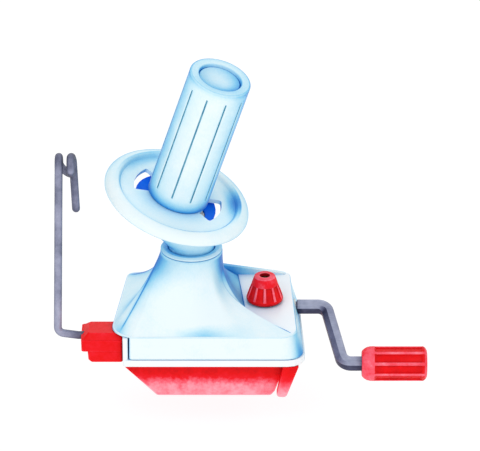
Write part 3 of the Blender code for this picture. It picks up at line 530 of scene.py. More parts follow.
def red_plastic(name, pink=0.0, highlight_fade_mm=None):
    """Glossy red plastic, pinker on convex edges as a painted highlight and deeper red in creases and at
    silhouettes as painted shade. The last argument gives heights where a painted highlight pales it
    downward.
    """
    s = Shader(name)
    cloud = s.noise(9, 4, 0.6)
    streak = s.noise(2.2, 4, 0.65)
    grain = s.noise(0.8, 3, 0.7)
    terms = [
        0.62 - pink,
        (s.occlusion(5), 0.4),
        (s.turned_away(3.0), 0.3),
        (cloud, 0.5),
        (streak, 0.22),
        (grain, 0.1),
        # Painted highlight: convex edges come out pinker.
        (s.occlusion(1.1, inside=True), -0.34),
    ]
    # Painted highlight: paler toward the bottom between the given heights.
    if highlight_fade_mm:
        height = s.add("SeparateXYZ", {0: s.place}).outputs["Z"]
        wavy = s.math("ADD", height, s.math("MULTIPLY", streak, 0.0015))
        limits = {"From Min": highlight_fade_mm[0] * MM, "From Max": highlight_fade_mm[1] * MM, "To Min": -0.55, "To Max": 0.0}
        highlight_fade = s.add("MapRange", {"Value": wavy, **limits}, interpolation_type="SMOOTHSTEP")
        terms.append(highlight_fade.outputs[0])
    s.colour(terms, (0.0, 0xFFA9B8), (0.2, 0xFF6478), (0.4, 0xF81426), (0.56, 0xF20008), (1.0, 0xA6000C))
    return s.finish(streak, 0.32, 0.55, 0.05, 0.5, (streak, 0.4), (grain, 0.3), Specular_IOR_Level=0.15)


def royal_blue_shade_plastic(name):
    # Painted shade: a saturated blue that stands for the shade under the flange, a little darker in creases.
    s = Shader(name)
    cloud = s.noise(12, 3)
    grain = s.noise(1.0, 4, 0.7)
    terms = (0.3, (s.occlusion(8), 0.2), (cloud, 0.6), (grain, 0.2))
    s.colour(terms, (0.0, 0x1284FF), (0.5, 0x0068F0), (1.0, 0x004ED0))
    return s.finish(grain, 0.4, 0.6, 0.05, 0.4, Specular_IOR_Level=0.08)


def painted_wire(name):
    """Violet-grey lacquered wire, blotchy along its length, with painted shade at its silhouettes and in
    creases.
    """
    s = Shader(name)
    cloud = s.noise(16, 3, 0.6)
    grain = s.noise(1.1, 4, 0.7)
    terms = [0.28, (s.turned_away(2.0), 0.75), (s.occlusion(6), 0.5)]
    terms += [(s.painted(), 1.0), (cloud, 1.1), (grain, 0.25)]
    s.colour(terms, (0.0, 0xC2C4DA), (0.35, 0x9598B2), (0.65, 0x666A84), (1.0, 0x3A3D55))
    return s.finish(grain, 0.35, 0.6, 0.06, 0.5, Metallic=0.25)


def brushed_steel(name, metallic=0.55):
    """Bluish steel with fine brushing. Painted shade darkens surfaces that look down, creases and
    silhouettes.
    """
    s = Shader(name)
    cloud = s.noise(14, 3, 0.6)
    brushing = s.noise(0.9, 5, 0.75, (0.12, 1, 1))
    down = s.add("SeparateXYZ", {0: s.add("NewGeometry").outputs["Normal"]}).outputs["Z"]
    shadow_side = s.math("SUBTRACT", 0.35, down, clamp=True)
    terms = [0.31, (shadow_side, 0.85), (s.turned_away(3.0), 0.5), (s.occlusion(5), 0.5)]
    terms += [(s.painted(), 1.0), (cloud, 0.7), (brushing, 0.3)]
    s.colour(terms, (0.0, 0xD6DBEC), (0.3, 0xA3A9C2), (0.6, 0x6C7190), (1.0, 0x2E3150))
    return s.finish(brushing, 0.28, 0.5, 0.04, 0.5, (brushing, 0.6), Metallic=metallic)


def worn_nylon(name):
    s = Shader(name)
    cloud = s.noise(5, 3)
    grain = s.noise(0.7, 3, 0.7)
    terms = (0.2, (s.occlusion(3), 0.6), (cloud, 0.5), (grain, 0.2))
    s.colour(terms, (0.0, 0xFBFAF3), (0.5, 0xEBE8DA), (1.0, 0xB9B39C))
    return s.finish(cloud, 0.4, 0.65, 0.03, 0.4, (grain, 0.5))


def brass_metal(name):
    s = Shader(name)
    cloud = s.noise(4, 3)
    scratch = s.noise(0.5, 4, 0.7, (1, 1, 0.1))
    terms = (0.3, (s.occlusion(2), 0.6), (cloud, 0.5), (scratch, 0.3))
    s.colour(terms, (0.0, 0xE8C878), (0.5, 0xC79C48), (1.0, 0x7A5A22))
    return s.finish(scratch, 0.25, 0.5, 0.02, 0.4, Metallic=1.0)


def black_rubber(name):
    s = Shader(name)
    cloud = s.noise(8, 3)
    grain = s.noise(0.5, 4, 0.7)
    s.colour((0.5, (cloud, 0.6), (grain, 0.4)), (0.0, 0x1C1C20), (1.0, 0x3A3A40))
    return s.finish(grain, 0.7, 0.95, 0.1, 0.6, (grain, 0.8))


# ---------------- housing


def deck_z(y):
    return DECK_FRONT_Z + (DECK_BACK_Z - DECK_FRONT_Z) * (y - FRONT_Y) / (BACK_Y - FRONT_Y)


def side_outline(left, right, inset, radii):
    """Plan of the housing. Left and right each give a front x and a back x."""
    corners = [
        (left[0] + inset, FRONT_Y + inset),
        (right[0] - inset, FRONT_Y + inset),
        (right[1] - inset, BACK_Y - inset),
        (left[1] + inset, BACK_Y - inset),
    ]
    return rounded_polygon(corners, radii)


def tower_foot():
    """Foot of the tower: it spreads along the whole front edge and narrows behind the deck."""
    front = FRONT_Y + 0.6
    back = BACK_Y - 2.5
    corners = [(-54.3, front), (64.0, front), (69.5, front + 4.1), (36.5, -12.0), (31.0, back)]
    corners.append((-44.2, back))
    return rounded_polygon(corners, [16.0, 4.0, 0.6, 15.0, 4.0, 6.0])


RAY_COUNT = 480
TINY = 1e-9
NEARLY = 1e-6
RAY_ANGLES = [2 * math.pi * k / RAY_COUNT for k in range(RAY_COUNT)]
RAYS = [Vector((math.cos(a), math.sin(a))) for a in RAY_ANGLES]


def reach_to(outline, blur=1):
    """Distance from the main axis to an outline along each ray, slightly blurred to round its corners."""
    found = []
    corners = [Vector(point) for point in outline]
    edges = [(corners[i - 1], corners[i] - corners[i - 1]) for i in range(len(corners))]
    for ray in RAYS:
        best = 0.0
        for start, edge in edges:
            across = ray.x * edge.y - ray.y * edge.x
            if abs(across) < TINY:
                continue
            reach = (start.x * edge.y - start.y * edge.x) / across
            along = (start.x * ray.y - start.y * ray.x) / across
            if -NEARLY <= along <= 1 + NEARLY:
                best = max(best, reach)
        found.append(best)
    window = range(-blur, blur + 1)
    return [sum(found[(k + w) % RAY_COUNT] for w in window) / len(window) for k in range(RAY_COUNT)]


def angle_gap(angle, other_deg):
    """Angle between a direction and one given in degrees, in radians."""
    gap = (angle - math.radians(other_deg)) % (2 * math.pi)
    return min(gap, 2 * math.pi - gap)


def tower_sweep(angle_deg):
    """Angle at the top and power of the sweep for a point of the foot seen at this angle."""
    while angle_deg < TOWER_SWEEP[0][0]:
        angle_deg += 360.0
    while angle_deg > TOWER_SWEEP[-1][0]:
        angle_deg -= 360.0
    row = next(i for i in range(1, len(TOWER_SWEEP)) if angle_deg <= TOWER_SWEEP[i][0])
    start, end = TOWER_SWEEP[row - 1 : row + 1]
    share = (angle_deg - start[0]) / (end[0] - start[0])
    return start[1] + (end[1] - start[1]) * share, start[2] + (end[2] - start[2]) * smoothstep(share)


def panel(angle, start_deg, end_deg):
    """1 between two ridges, fading to 0 close to each of them, and 0 outside."""
    half = math.radians(end_deg - start_deg) / 2
    return smoothstep((half - angle_gap(angle, (start_deg + end_deg) / 2)) / 0.1)


def bell_shade(angle, radius, t):
    """Painted shade on the tower: an ink line on each ridge, a soft band of shade beside it, more near the
    top.
    """
    depth = 0.0
    for ridge in (FRONT_LEFT_RIDGE, RIGHT_RIDGE, BACK_RIGHT_RIDGE, BACK_LEFT_RIDGE):
        away = angle_gap(angle, ridge) * radius
        depth += 0.62 * hump(away, 0.6) * smoothstep(t * 9)
        depth += 0.36 * math.exp(-away / 4.5) * (0.25 + 0.75 * smoothstep(t * 2.5))
    for ridge, strength in ((FRONT_LEFT_RIDGE, 0.42), (RIGHT_RIDGE, 0.8)):
        depth += strength * hump(angle_gap(angle, ridge), 0.4) * smoothstep((t - 0.35) / 0.5)
    depth += 0.2 * smoothstep((t - 0.6) / 0.4)
    # Patches of painted shade in the middle of the front foot and at its left corner.
    depth += 0.46 * hump(angle_gap(angle, -80), 0.4) * (1 - smoothstep(t / 0.17))
    depth += 0.4 * hump(angle_gap(angle, -142), 0.13) * (1 - smoothstep(t / 0.2))
    # Painted shade over the right flank; the left panel is painted lighter, a painted highlight.
    depth += 0.34 * panel(angle, RIGHT_RIDGE, BACK_RIGHT_RIDGE) * (0.35 + 0.65 * smoothstep(t * 1.8))
    depth -= 0.12 * panel(angle, BACK_LEFT_RIDGE, FRONT_LEFT_RIDGE + 360)
    return depth


def housing_reaches():
    """Reach of the side wall's top and foot, the overhang, the deck's edge and the tower's foot, by ray."""
    side_radii = [2.0, 12.0, 6.0, 3.0]
    left = (SIDE_X, SIDE_X)
    deck_right = (71.4, 67.2)
    foot_right = (75.8, 72.0)
    upper = reach_to(side_outline(left, deck_right, 0.5, side_radii))
    lower = reach_to(side_outline(left, foot_right, 0.3, side_radii))
    slab = reach_to(side_outline((-55.6, -45.0), deck_right, 0.8, [16.5, 12.0, 6.0, 6.0]))
    edge = [max(pair) for pair in zip(upper, slab)]
    foot = [min(f, e - EDGE_ROUNDING - 0.1) for f, e in zip(reach_to(tower_foot(), 2), edge)]
    return upper, lower, slab, edge, foot


def per_ray(value):
    return value if isinstance(value, list) else [value] * RAY_COUNT


class Shell:
    """Rings of the housing's thin shell around the main axis, one point per ray, and their shades."""

    def __init__(self):
        self.upper, self.lower, self.slab, self.edge, self.foot = housing_reaches()
        self.sweeps = [tower_sweep(math.degrees(angle)) for angle in RAY_ANGLES]
        self.tops = [Vector(polar(1.0, top_deg)) for top_deg, _ in self.sweeps]
        self.rings = []
        self.shades = []

    def add(self, radii, height_at, depths=0.0, rays=RAYS):
        """A radius or a depth is one number or a list with one per ray. A height follows from y."""
        points = [ray * radius for ray, radius in zip(rays, per_ray(radii))]
        self.rings.append([Vector((p.x, p.y, height_at(p.y))) for p in points])
        self.shades.append(per_ray(depths))

    def add_bell(self, t, inset=0.0, drop=0.0, shaded=True):
        """Ring at a share t of the way up, pulled inward and down for the inner face."""
        ring = []
        values = []
        for k, ray in enumerate(RAYS):
            spread = (1 - t) ** self.sweeps[k][1]
            here = self.tops[k].lerp(ray * self.foot[k] / TOWER_TOP_RADIUS, spread) * TOWER_TOP_RADIUS
            here *= max(here.length - inset, BORE_RADIUS + 0.5) / here.length
            foot_z = deck_z(self.foot[k] * ray.y) - 0.6 * (self.edge[k] - self.foot[k] > 3.0)
            ring.append(Vector((here.x, here.y, foot_z + (TOWER_TOP - foot_z) * t - drop)))
            values.append(bell_shade(RAY_ANGLES[k], here.length, t) if shaded else 0.0)
        self.rings.append(ring)
        self.shades.append(values)

    def wall_radii(self, z):
        share = min((z - HOUSING_BOTTOM) / (DECK_FRONT_Z - HOUSING_BOTTOM), 1.0)
        return [low + (high - low) * share for low, high in zip(self.lower, self.upper)]

    def add_tower(self):
        """Bore, rounded top edge and bell, with closer rings near the top and the foot."""
        for radius, drop in ((BORE_RADIUS, 5), (BORE_RADIUS, 0.3), (BORE_RADIUS + 0.3, 0)):
            self.add(radius, lambda y: TOWER_TOP - drop, 0.0, self.tops)
        for across, up in sine_pairs(0, 30, 60, 90):
            radius = TOWER_TOP_RADIUS - TOP_ROUNDING + TOP_ROUNDING * across
            self.add(radius, lambda y: TOWER_TOP - TOP_ROUNDING + TOP_ROUNDING * up, 0.3, self.tops)
        steps = 40
        for i in range(1, steps + 1):
            left_over = 1 - i / steps
            self.add_bell(0.97 * left_over**1.35 + 0.01 * left_over)

    def add_deck(self):
        """Sloping deck, with painted shade beside the tower's foot where it is wide enough, and its rounded
        edge.
        """
        widths = [edge - EDGE_ROUNDING - foot for edge, foot in zip(self.edge, self.foot)]
        wide = [smoothstep((width + EDGE_ROUNDING) / 6) for width in widths]
        steps = 26
        for i in range(1, steps + 1):
            away = [width * (i / steps) ** 1.6 for width in widths]
            depths = [w * (0.34 * math.exp(-a / 0.8) + 0.2 * math.exp(-a / 5)) for w, a in zip(wide, away)]
            self.add([foot + a for foot, a in zip(self.foot, away)], deck_z, depths)
        for across, up in sine_pairs(22, 45, 67, 90):
            radii = [edge - EDGE_ROUNDING + EDGE_ROUNDING * across for edge in self.edge]
            self.add(radii, lambda y: deck_z(y) - EDGE_ROUNDING + EDGE_ROUNDING * up, 0.16)

    def add_wall(self):
        """Underside of the overhang at the left, then the side wall."""
        wall = self.wall_radii(SKIRT_Z)
        skirt = [max(pair) for pair in zip(self.slab, wall)]
        levels = [(SKIRT_Z + 0.15, skirt), (SKIRT_Z - 0.05, [max(s - 0.5, w) for s, w in zip(skirt, wall)])]
        levels.append((SKIRT_Z - 0.2, self.wall_radii(SKIRT_Z - 0.2)))
        for z, radii in levels:
            self.add(radii, lambda y: z, wall_shades(SKIRT_Z))
        for z in (17.0, 13.0, 9.0, 6.5, HOUSING_BOTTOM + 0.6):
            self.add(self.wall_radii(z), lambda y: z, wall_shades(z))
        for inset, rise, depth in ((0.15, 0.15, 0.3), (0.7, 0, 0.4), (WALL, 0, 0.0)):
            self.add([reach - inset for reach in self.lower], lambda y: HOUSING_BOTTOM + rise, depth)

    def add_inside(self):
        radii = [min(pair) - WALL for pair in zip(self.upper, self.edge)]
        self.add(radii, lambda y: deck_z(y) - WALL)
        for t in (0.05, 0.15, 0.3, 0.5, 0.7, 0.85):
            self.add_bell(t, WALL + 1.0, WALL, shaded=False)


def wall_shades(z):
    """Painted shade round the front right corner only. A painted highlight keeps the right side wall
    above it paler.
    """
    low = 1 - smoothstep((z - HOUSING_BOTTOM) / 14)
    depths = []
    for angle in RAY_ANGLES:
        corner = hump(angle_gap(angle, -29), 0.075) * (0.45 + 0.3 * low)
        depths.append(corner - 0.42 * panel(angle, -31, 40) * (1 - 0.7 * low))
    return depths


def housing_shell(material, deck_material):
    """Thin shell with a flat sloping deck and a bell-shaped tower."""
    shell = Shell()
    shell.add_tower()
    shell.add_deck()
    shell.add_wall()
    shell.add_inside()
    solid = loft(shell.rings, hollow=True, shades=shell.shades)
    paint_faces(solid, lambda centre: abs(centre.z - deck_z(centre.y)) < 0.08, 1)
    looks = [material, deck_material]
    housing = piece("housing_shell", solid, looks, "base", "housing_cover", 50)
    bolt_hole = rod((KNOB.x, KNOB.y, 15), (KNOB.x, KNOB.y, 30), 4.9)
    crank_hole = rod((60, CRANK_Y, CRANK_Z), (80, CRANK_Y, CRANK_Z), 5.5)
    cut(housing, [bolt_hole, crank_hole], smooth_deg=50)


def back_rim(material):
    """Low wall along the back of the deck. It is tallest beside the tower."""
    top = [(20.0, 32.5), (26.0, 31.5), (32.0, 30.6), (40.0, 29.4), (48.0, 28.2), (58.0, 26.8), (63.5, 25.6)]
    floor = [(x, 21.0) for x, _ in top]
    outline = floor + top[::-1]
    rim = placed(prism(outline, -44.9, -41.9), SIDE_VIEW)
    # Painted shade, deepest at the rim's left end and fading to the right.
    shade_by(rim, lambda co: 0.55 * (1 - smoothstep((co.x - 24) / 30)))
    obj = piece("housing_back_rim", rim, [material], "base", "housing_cover")
    soften(obj, 0.7)


def collar(material):
    seat = TOWER_TOP + 0.3
    corners = [(15.85, 58.8), (17.6, 58.8), (17.6, seat), (20.5, seat), (20.7, seat + 1.0)]
    corners += [(18.9, COLLAR_TOP), (15.85, COLLAR_TOP)]
    ring = soft_lathe(corners, 0.3)
    piece("collar_ring", ring, [material], "base", "collar_bush")


# ---------------- rotor and spool

LEAN = Vector((math.cos(math.radians(LEAN_DEG)), math.sin(math.radians(LEAN_DEG)), 0.0))
SPOOL_AXIS = LEAN * math.sin(math.radians(TILT_DEG)) + Vector((0, 0, math.cos(math.radians(TILT_DEG))))
SPOOL_PLACE = placement_of(APEX, SPOOL_AXIS, LEAN)


def rotor_head(material):
    """Round neck that swells into a tilted head under the flange."""
    neck_top = 68.5
    neck = [(NECK_RADIUS - 0.8, 57.6), (NECK_RADIUS, 58.4), (NECK_RADIUS, 63.0), (NECK_RADIUS, neck_top)]
    rings = [at_height(circle(radius), z) for radius, z in neck]
    start = Vector((0, 0, neck_top))
    end = APEX + SPOOL_AXIS * (HEAD_TOP - 3.0)
    steps = 12
    for i in range(1, steps + 1):
        t = i / steps
        radius = NECK_RADIUS + (HEAD_RADIUS - NECK_RADIUS) * math.sin(t * math.pi / 2)
        place = placement_of(start.lerp(end, t), Vector((0, 0, 1)).lerp(SPOOL_AXIS, t), (1, 0, 0))
        rings.append([place @ point for point in at_height(circle(radius), 0)])
    top = placement_of(APEX + SPOOL_AXIS * HEAD_TOP, SPOOL_AXIS, (1, 0, 0))
    for up, across in sine_pairs(0, 30, 60, 90):
        ring = at_height(circle(HEAD_RADIUS - 0.8 + 0.8 * across), -0.8 + 0.8 * up)
        rings.append([top @ point for point in ring])
    head = piece("rotor_head_bowl", loft(rings), [material], "rotor", "rotor_head")
    planet_room = placed(prism(circle(10.0, 48), -48.4, HEAD_TOP + 3), SPOOL_PLACE)
    sun_room = prism(circle(11.4, 48), 82.6, 110)
    spindle_hole = placed(prism(circle(3.0, 32), -58.4, -40), SPOOL_PLACE)
    tube_hole = prism(circle(4.8, 32), 50, 73.2)
    post_hole = prism(circle(3.1, 32), 60, 100)
    cut(head, [planet_room, sun_room, spindle_hole, tube_hole, post_hole])


def flange(material):
    """Dish with a thick rounded rim and two curved windows."""
    floor = FLOOR_TOP
    rim_inner = 42.2
    profile = [(5.2, floor - 3.0), (5.2, floor - 0.3), (5.5, floor)]
    profile += [(31.5, floor), (34.0, floor), (36.5, floor), (38.9, floor), (39.9, floor + 0.2)]
    profile += [(41.0, floor + 1.6), (41.5, floor + 2.15)]
    for i in range(13):
        turn = math.pi / 2 * i / 12
        across = rim_inner + (FLANGE_RADIUS - rim_inner) * math.sin(turn)
        profile.append((across, floor - 3.0 + 5.4 * math.cos(turn)))
    for i in range(1, 13):
        turn = math.pi * i / 12
        profile.append((44.75 + 5.25 * math.cos(turn), floor - 3.0 - 2.6 * math.sin(turn)))
    dish = lathe(profile, 144, hollow=True)

    def crescent(co):
        """Painted shade against the rim's inner side, at the back left, at the right and along the front."""
        if co.z < floor - 1 or not 30 < co.xy.length < 43.5:
            return 0.0
        angle = math.atan2(co.y, co.x)
        left = 0.42 * hump(angle_gap(angle, 158), 0.62)
        right = 0.8 * hump(angle_gap(angle, 40), 0.34)
        front = 0.6 * hump(angle_gap(angle, -42), 0.4) * (40.5 < co.xy.length < 42)
        return (left + right + front) * smoothstep((co.xy.length - 30) / 10)

    shade_by(dish, crescent)
    placed(dish, SPOOL_PLACE)
    obj = piece("spool_flange_dish", dish, [material], "spool", "spool_flange")
    windows = []
    for turn in (0, 180):
        middle = WINDOW_DEG + turn
        outline = [polar(29.3, middle - 27)]
        outline += arc((0, 0), 30.5, middle - 25.5, middle + 25.5, 20)
        outline += [polar(29.3, middle + 27)]
        outline += arc((0, 0), 19.5, middle + 27, middle - 27, 16)
        windows.append(placed(prism(outline, floor - 5, floor + 2), SPOOL_PLACE))
    cut(obj, windows)


def grooved_circle(radius, depth):
    """Cross-section of the core: a circle with shallow grooves. Each point also gets painted shade, deeper
    in grooves.
    """
    half_width_deg = math.degrees(0.55 / CORE_RADIUS)
    pitch = 360 / GROOVES
    outline = []
    shades = []
    marks = [(-1.25, 0.0), (-1.0, 0.1), (-0.75, 1.0), (0.0, 1.0), (0.75, 1.0), (1.0, 0.1), (1.25, 0.0)]
    land_start = marks[-1][0] * half_width_deg
    for i in range(GROOVES):
        centre = GROOVE_DEG + i * pitch
        for place, share in marks:
            outline.append(polar(radius - depth * share, centre + place * half_width_deg))
            shades.append(0.1 * share if depth else 0.0)
        for k in range(1, 9):
            outline.append(polar(radius, centre + land_start + (pitch - 2 * land_start) * k / 9))
            shades.append(0.0)
    return outline, shades


def core(material, groove_shade_material):
    """Straight tube with shallow grooves along its side and an inward lip at the top."""
    groove_start = CORE_BOTTOM + 9.2
    groove_end = CORE_TOP - 7.4
    # Stations are (radius, height, depth of painted shade, depth of the grooves).
    stations = [(17.8, CORE_BOTTOM, 0.0, 0.0), (CORE_RADIUS - 0.3, CORE_BOTTOM, 0.5, 0.0)]
    for rise, shade in ((0.3, 0.5), (1.2, 0.42), (3.0, 0.24), (6.0, 0.08), (9.1, 0.0)):
        stations.append((CORE_RADIUS, CORE_BOTTOM + rise, shade, 0.0))
    stations.append((CORE_RADIUS, groove_start + 0.6, 0.0, 0.7))
    for share in (0.02, 0.2, 0.4, 0.6, 0.8, 0.98):
        stations.append((CORE_RADIUS, groove_start + (groove_end - groove_start) * share, 0.0, 0.85))
    stations.append((CORE_RADIUS, groove_end - 0.6, 0.0, 0.7))
    for drop, shade in ((7.3, 0.0), (4.5, 0.0), (2.2, 0.1)):
        stations.append((CORE_RADIUS, CORE_TOP - drop, shade, 0.0))
    for up, across in sine_pairs(0, 22, 45, 67, 90):
        stations.append((CORE_RADIUS - 1 + across, CORE_TOP - 1 + up, 0.24, 0.0))
    inside = [(19.2, 0.0, 0.02), (15.4, 0.0, 0.0), (14.8, 0.2, 0.24), (14.4, 0.7, 0.24)]
    for radius, drop, shade in inside + [(14.0, 8.0, 0.0), (17.8, 11.0, 0.0)]:
        stations.append((radius, CORE_TOP - drop, shade, 0.0))
    rings = []
    shades = []
    for radius, z, shade, depth in stations:
        outline, values = grooved_circle(radius, depth)
        rings.append(at_height(outline, z))
        shades.append([value + shade for value in values])
    tube = loft(rings, hollow=True, shades=shades)

    def in_groove(centre):
        return CORE_RADIUS - 1.0 < centre.xy.length < CORE_RADIUS - 0.3 and centre.z < CORE_TOP - 3

    # The groove floors get the darker teal of the painted groove shade.
    paint_faces(tube, in_groove, 1)
    placed(tube, SPOOL_PLACE)
    looks = [material, groove_shade_material]
    piece("spool_core_tube", tube, looks, "spool", "spool_core")


def end_plug(material):
    """Dished disc that closes the top of the core. It has painted shade toward its back."""
    radius = 13.5
    rim = CORE_TOP - 2.2
    profile = [(radius, rim - 4.8), (13.95, rim - 0.4), (13.85, rim - 0.1), (radius, rim)]
    for share in (0.85, 0.7, 0.55, 0.4, 0.25, 0.1, 0.02):
        profile.append((radius * share, rim - 3.4 * (1 - share**2)))
    disc = lathe(profile, 96)

    def dish_shade(co):
        toward_back = 0.5 + 0.5 * math.cos(math.atan2(co.y, co.x) - 1.2)
        return 0.5 * toward_back * smoothstep(co.xy.length / 13 - 0.3)

    shade_by(disc, dish_shade)
    placed(disc, SPOOL_PLACE)
    piece("spool_top_plug", disc, [material], "spool", "spool_end_plug")


# ---------------- crank and grip


def crank_place():
    """Crank axis as Z, with X pointing from the axis toward the grip."""
    swing = math.radians(CRANK_SWING_DEG)
    return placement_of((0, CRANK_Y, CRANK_Z), (1, 0, 0), (0, -math.sin(swing), -math.cos(swing)))


RIB_SHARE = 0.2


def ribbed_rings(stations, count, phase_deg, edge_share, steps=16):
    """Round sections with raised ribs, from (height, radius) or (height, radius, depth between ribs)."""
    rings = []
    for z, rib, *depth in stations:
        ring = []
        for i in range(count * steps):
            phase = (i / steps + 0.5) % 1.0 - 0.5
            sink = smoothstep((abs(phase) - RIB_SHARE / 2) / edge_share)
            ring.append(Vector((*polar(rib - sum(depth) * sink, phase_deg + 360 * i / (count * steps)), z)))
        rings.append(ring)
    return rings


def on_rib(point, count, phase_deg):
    angle = math.atan2(point.y, point.x) - math.radians(phase_deg)
    phase = (angle * count / (2 * math.pi) + 0.5) % 1.0 - 0.5
    return abs(phase) < RIB_SHARE / 2 + 0.03


def crank(steel):
    """Bent square bar from the shaft to the grip's pin, all one solid."""
    half = 3.9
    narrow = 1.5
    wide = 3.0
    arc_steps = 8
    bar_start = 71.5
    bar_end = GRIP_START + 2.0

    def bar_outline(bevel):
        """Square bar with three rounded edges and one flat bevel."""
        corners = [(-half, -half), (half - bevel, -half), (half, bevel - half), (half, half), (-half, half)]
        return rounded_polygon(corners, [1.5, 0.3, 0.3, 1.5, 1.5], arc_steps)

    square = bar_outline(narrow)
    directions = [Vector(point).normalized() for point in square]

    def round_bar(radius, z, offset=0.0):
        """Circle whose points lie in the same directions as those of the square bar."""
        return [Vector((d.x * radius + offset, d.y * radius, z)) for d in directions]

    corners = [(0, 0, bar_start), (0, 0, 91.0), (CRANK_RADIUS, 0, 101.6), (CRANK_RADIUS, 0, bar_end)]
    path = bent_path(corners, [7.0, 7.0])
    rings = [round_bar(1.9, SHAFT_END_X), round_bar(1.9, SHAFT_STEP_X)]
    rings += [round_bar(3.6, SHAFT_STEP_X), round_bar(3.6, bar_start - 0.6)]
    plain = [0.0] * len(square)
    shades = [plain] * len(rings)
    # The bevel widens through the first bend and narrows again through the second. It and the face beside
    # it get painted shade on the way.
    bend_end = (len(path) - 2) // 2
    points_per_corner = arc_steps + 1
    shade_start = points_per_corner + arc_steps // 2 + 1
    shade_end = 3 * points_per_corner + arc_steps // 2
    for i, frame in enumerate(frames_along(path, (1, 0, 0))):
        share = smoothstep(min(i - 1, 2 * bend_end - i) / (bend_end - 1))
        rings.append(in_frame(frame, bar_outline(narrow + (wide - narrow) * share)))
        depth = share * (0.5 if i <= bend_end else 0.28)
        shades.append([depth * (shade_start <= k <= shade_end) for k in range(len(square))])
    for z in (bar_end, GRIP_START + GRIP_LENGTH - 6.4):
        rings.append(round_bar(3.0, z, CRANK_RADIUS))
        shades.append(plain)
    arm = placed(loft(rings, shades=shades), crank_place())
    obj = piece("crank_bar", arm, [steel], "crank", "crank_arm")
    soften(obj, 0.3, 50, 2)


def crank_bearing(nylon):
    corners = [(3.85, 0), (6.8, 0), (6.8, 1.6), (5.2, 1.6), (5.2, 7.9), (3.85, 7.9)]
    place = placement_of((62.3, CRANK_Y, CRANK_Z), (1, 0, 0), (0, 0, 1))
    bush = placed(soft_lathe(corners, 0.25, 64), place)
    piece("crank_bearing_bush", bush, [nylon], "base", "crank_bush")


def grip(red, pink):
    """Ribbed handle that spins on the crank's pin, with a cap in its end."""
    ridges = 9
    socket_end = 3.0
    recess_start = GRIP_LENGTH - 6.0
    stations = [(socket_end, 3.3), (socket_end, 5.7), (0.0, 5.7), (0.0, 8.2), (0.4, 8.9)]
    stations += [(1.5, 10.0), (3.4, 11.1), (5.6, 11.6), (8.4, GRIP_RADIUS)]
    dips = ((8.9, 0.15), (9.5, 0.9), (10.2, 1.15), (25.0, 1.15), (39.2, 1.15), (39.9, 0.9), (40.5, 0.15))
    stations += [(z, GRIP_RADIUS, dip) for z, dip in dips]
    stations += [(40.9, GRIP_RADIUS), (42.0, 11.2), (42.9, 10.3), (43.6, 9.0), (GRIP_LENGTH, 8.0)]
    stations += [(GRIP_LENGTH, 5.6), (recess_start, 5.6), (recess_start, 3.3)]
    handle = loft(ribbed_rings(stations, ridges, 0, 0.09), hollow=True)

    # Painted highlight: the grip's ends and ribs are pink.
    def is_pink(centre):
        if centre.xy.length < 7.5:
            return False
        return centre.z < 8.6 or centre.z > 42.2 or on_rib(centre, ridges, 0)

    paint_faces(handle, is_pink, 1)
    start = crank_place() @ Vector((CRANK_RADIUS, 0, GRIP_START))
    placed(handle, placement_of(start, (1, 0, 0), (0, -0.9, 0.43)))
    piece("crank_grip_handle", handle, [red, pink], "grip", "crank_grip")
    # The end cap is all in the pink of the painted highlight.
    cap = lathe([(5.2, 0), (5.2, 4.2), (5.0, 4.8), (4.0, 5.5), (2.4, 5.85), (0.3, 5.9)], 64)
    placed(cap, placement_of(start + Vector((GRIP_LENGTH - 5.7, 0, 0)), (1, 0, 0), (0, 0, 1)))
    piece("crank_grip_cap", cap, [pink], "grip", "grip_end_cap")


# ---------------- clamp


def knob(red, pink, hole_shade, middle):
    """Tapered clamp knob with ten ribs, a smooth skirt and a hole in its top."""
    ribs = 10
    rib_start_deg = -90
    stations = [(0.0, 11.6), (0.5, 12.1), (1.4, 12.4), (2.3, 12.35)]
    stations += [(2.8, 12.25, 0.15), (3.3, 12.1, 0.95), (4.0, 11.9, 1.1), (8.0, 10.5, 1.05)]
    stations += [(10.9, 9.4, 1.0), (11.6, 9.15, 0.85), (12.1, 9.0, 0.15)]
    stations += [(12.6, 8.8), (15.5, 7.85), (17.2, 7.25), (17.8, 6.95), (KNOB_HEIGHT, 6.5)]
    stations += [(KNOB_HEIGHT, 3.6), (KNOB_HEIGHT - 0.25, 3.3), (16.0, 3.3), (16.0, 4.6), (0.0, 4.6)]
    body = loft(ribbed_rings(stations, ribs, rib_start_deg, 0.08), hollow=True)

    def is_pink(centre):
        if centre.xy.length < 4.4:
            return False
        return centre.z > 17.4 or (2.9 < centre.z < 12.3 and on_rib(centre, ribs, rib_start_deg))

    # Painted highlight: pink ribs and top ring and a lighter red on the upper cone. Painted shade: a deeper
    # red inside the hole.
    paint_faces(body, is_pink, 1)
    paint_faces(body, lambda centre: 12.3 < centre.z <= 17.4 and centre.xy.length > 5, 3)
    paint_faces(body, lambda centre: centre.xy.length < 3.45, 2)
    bmesh.ops.translate(body, vec=KNOB, verts=body.verts)
    looks = [red, pink, hole_shade, middle]
    piece("clamp_knob_ribbed", body, looks, "clamp_screw", "clamp_knob")


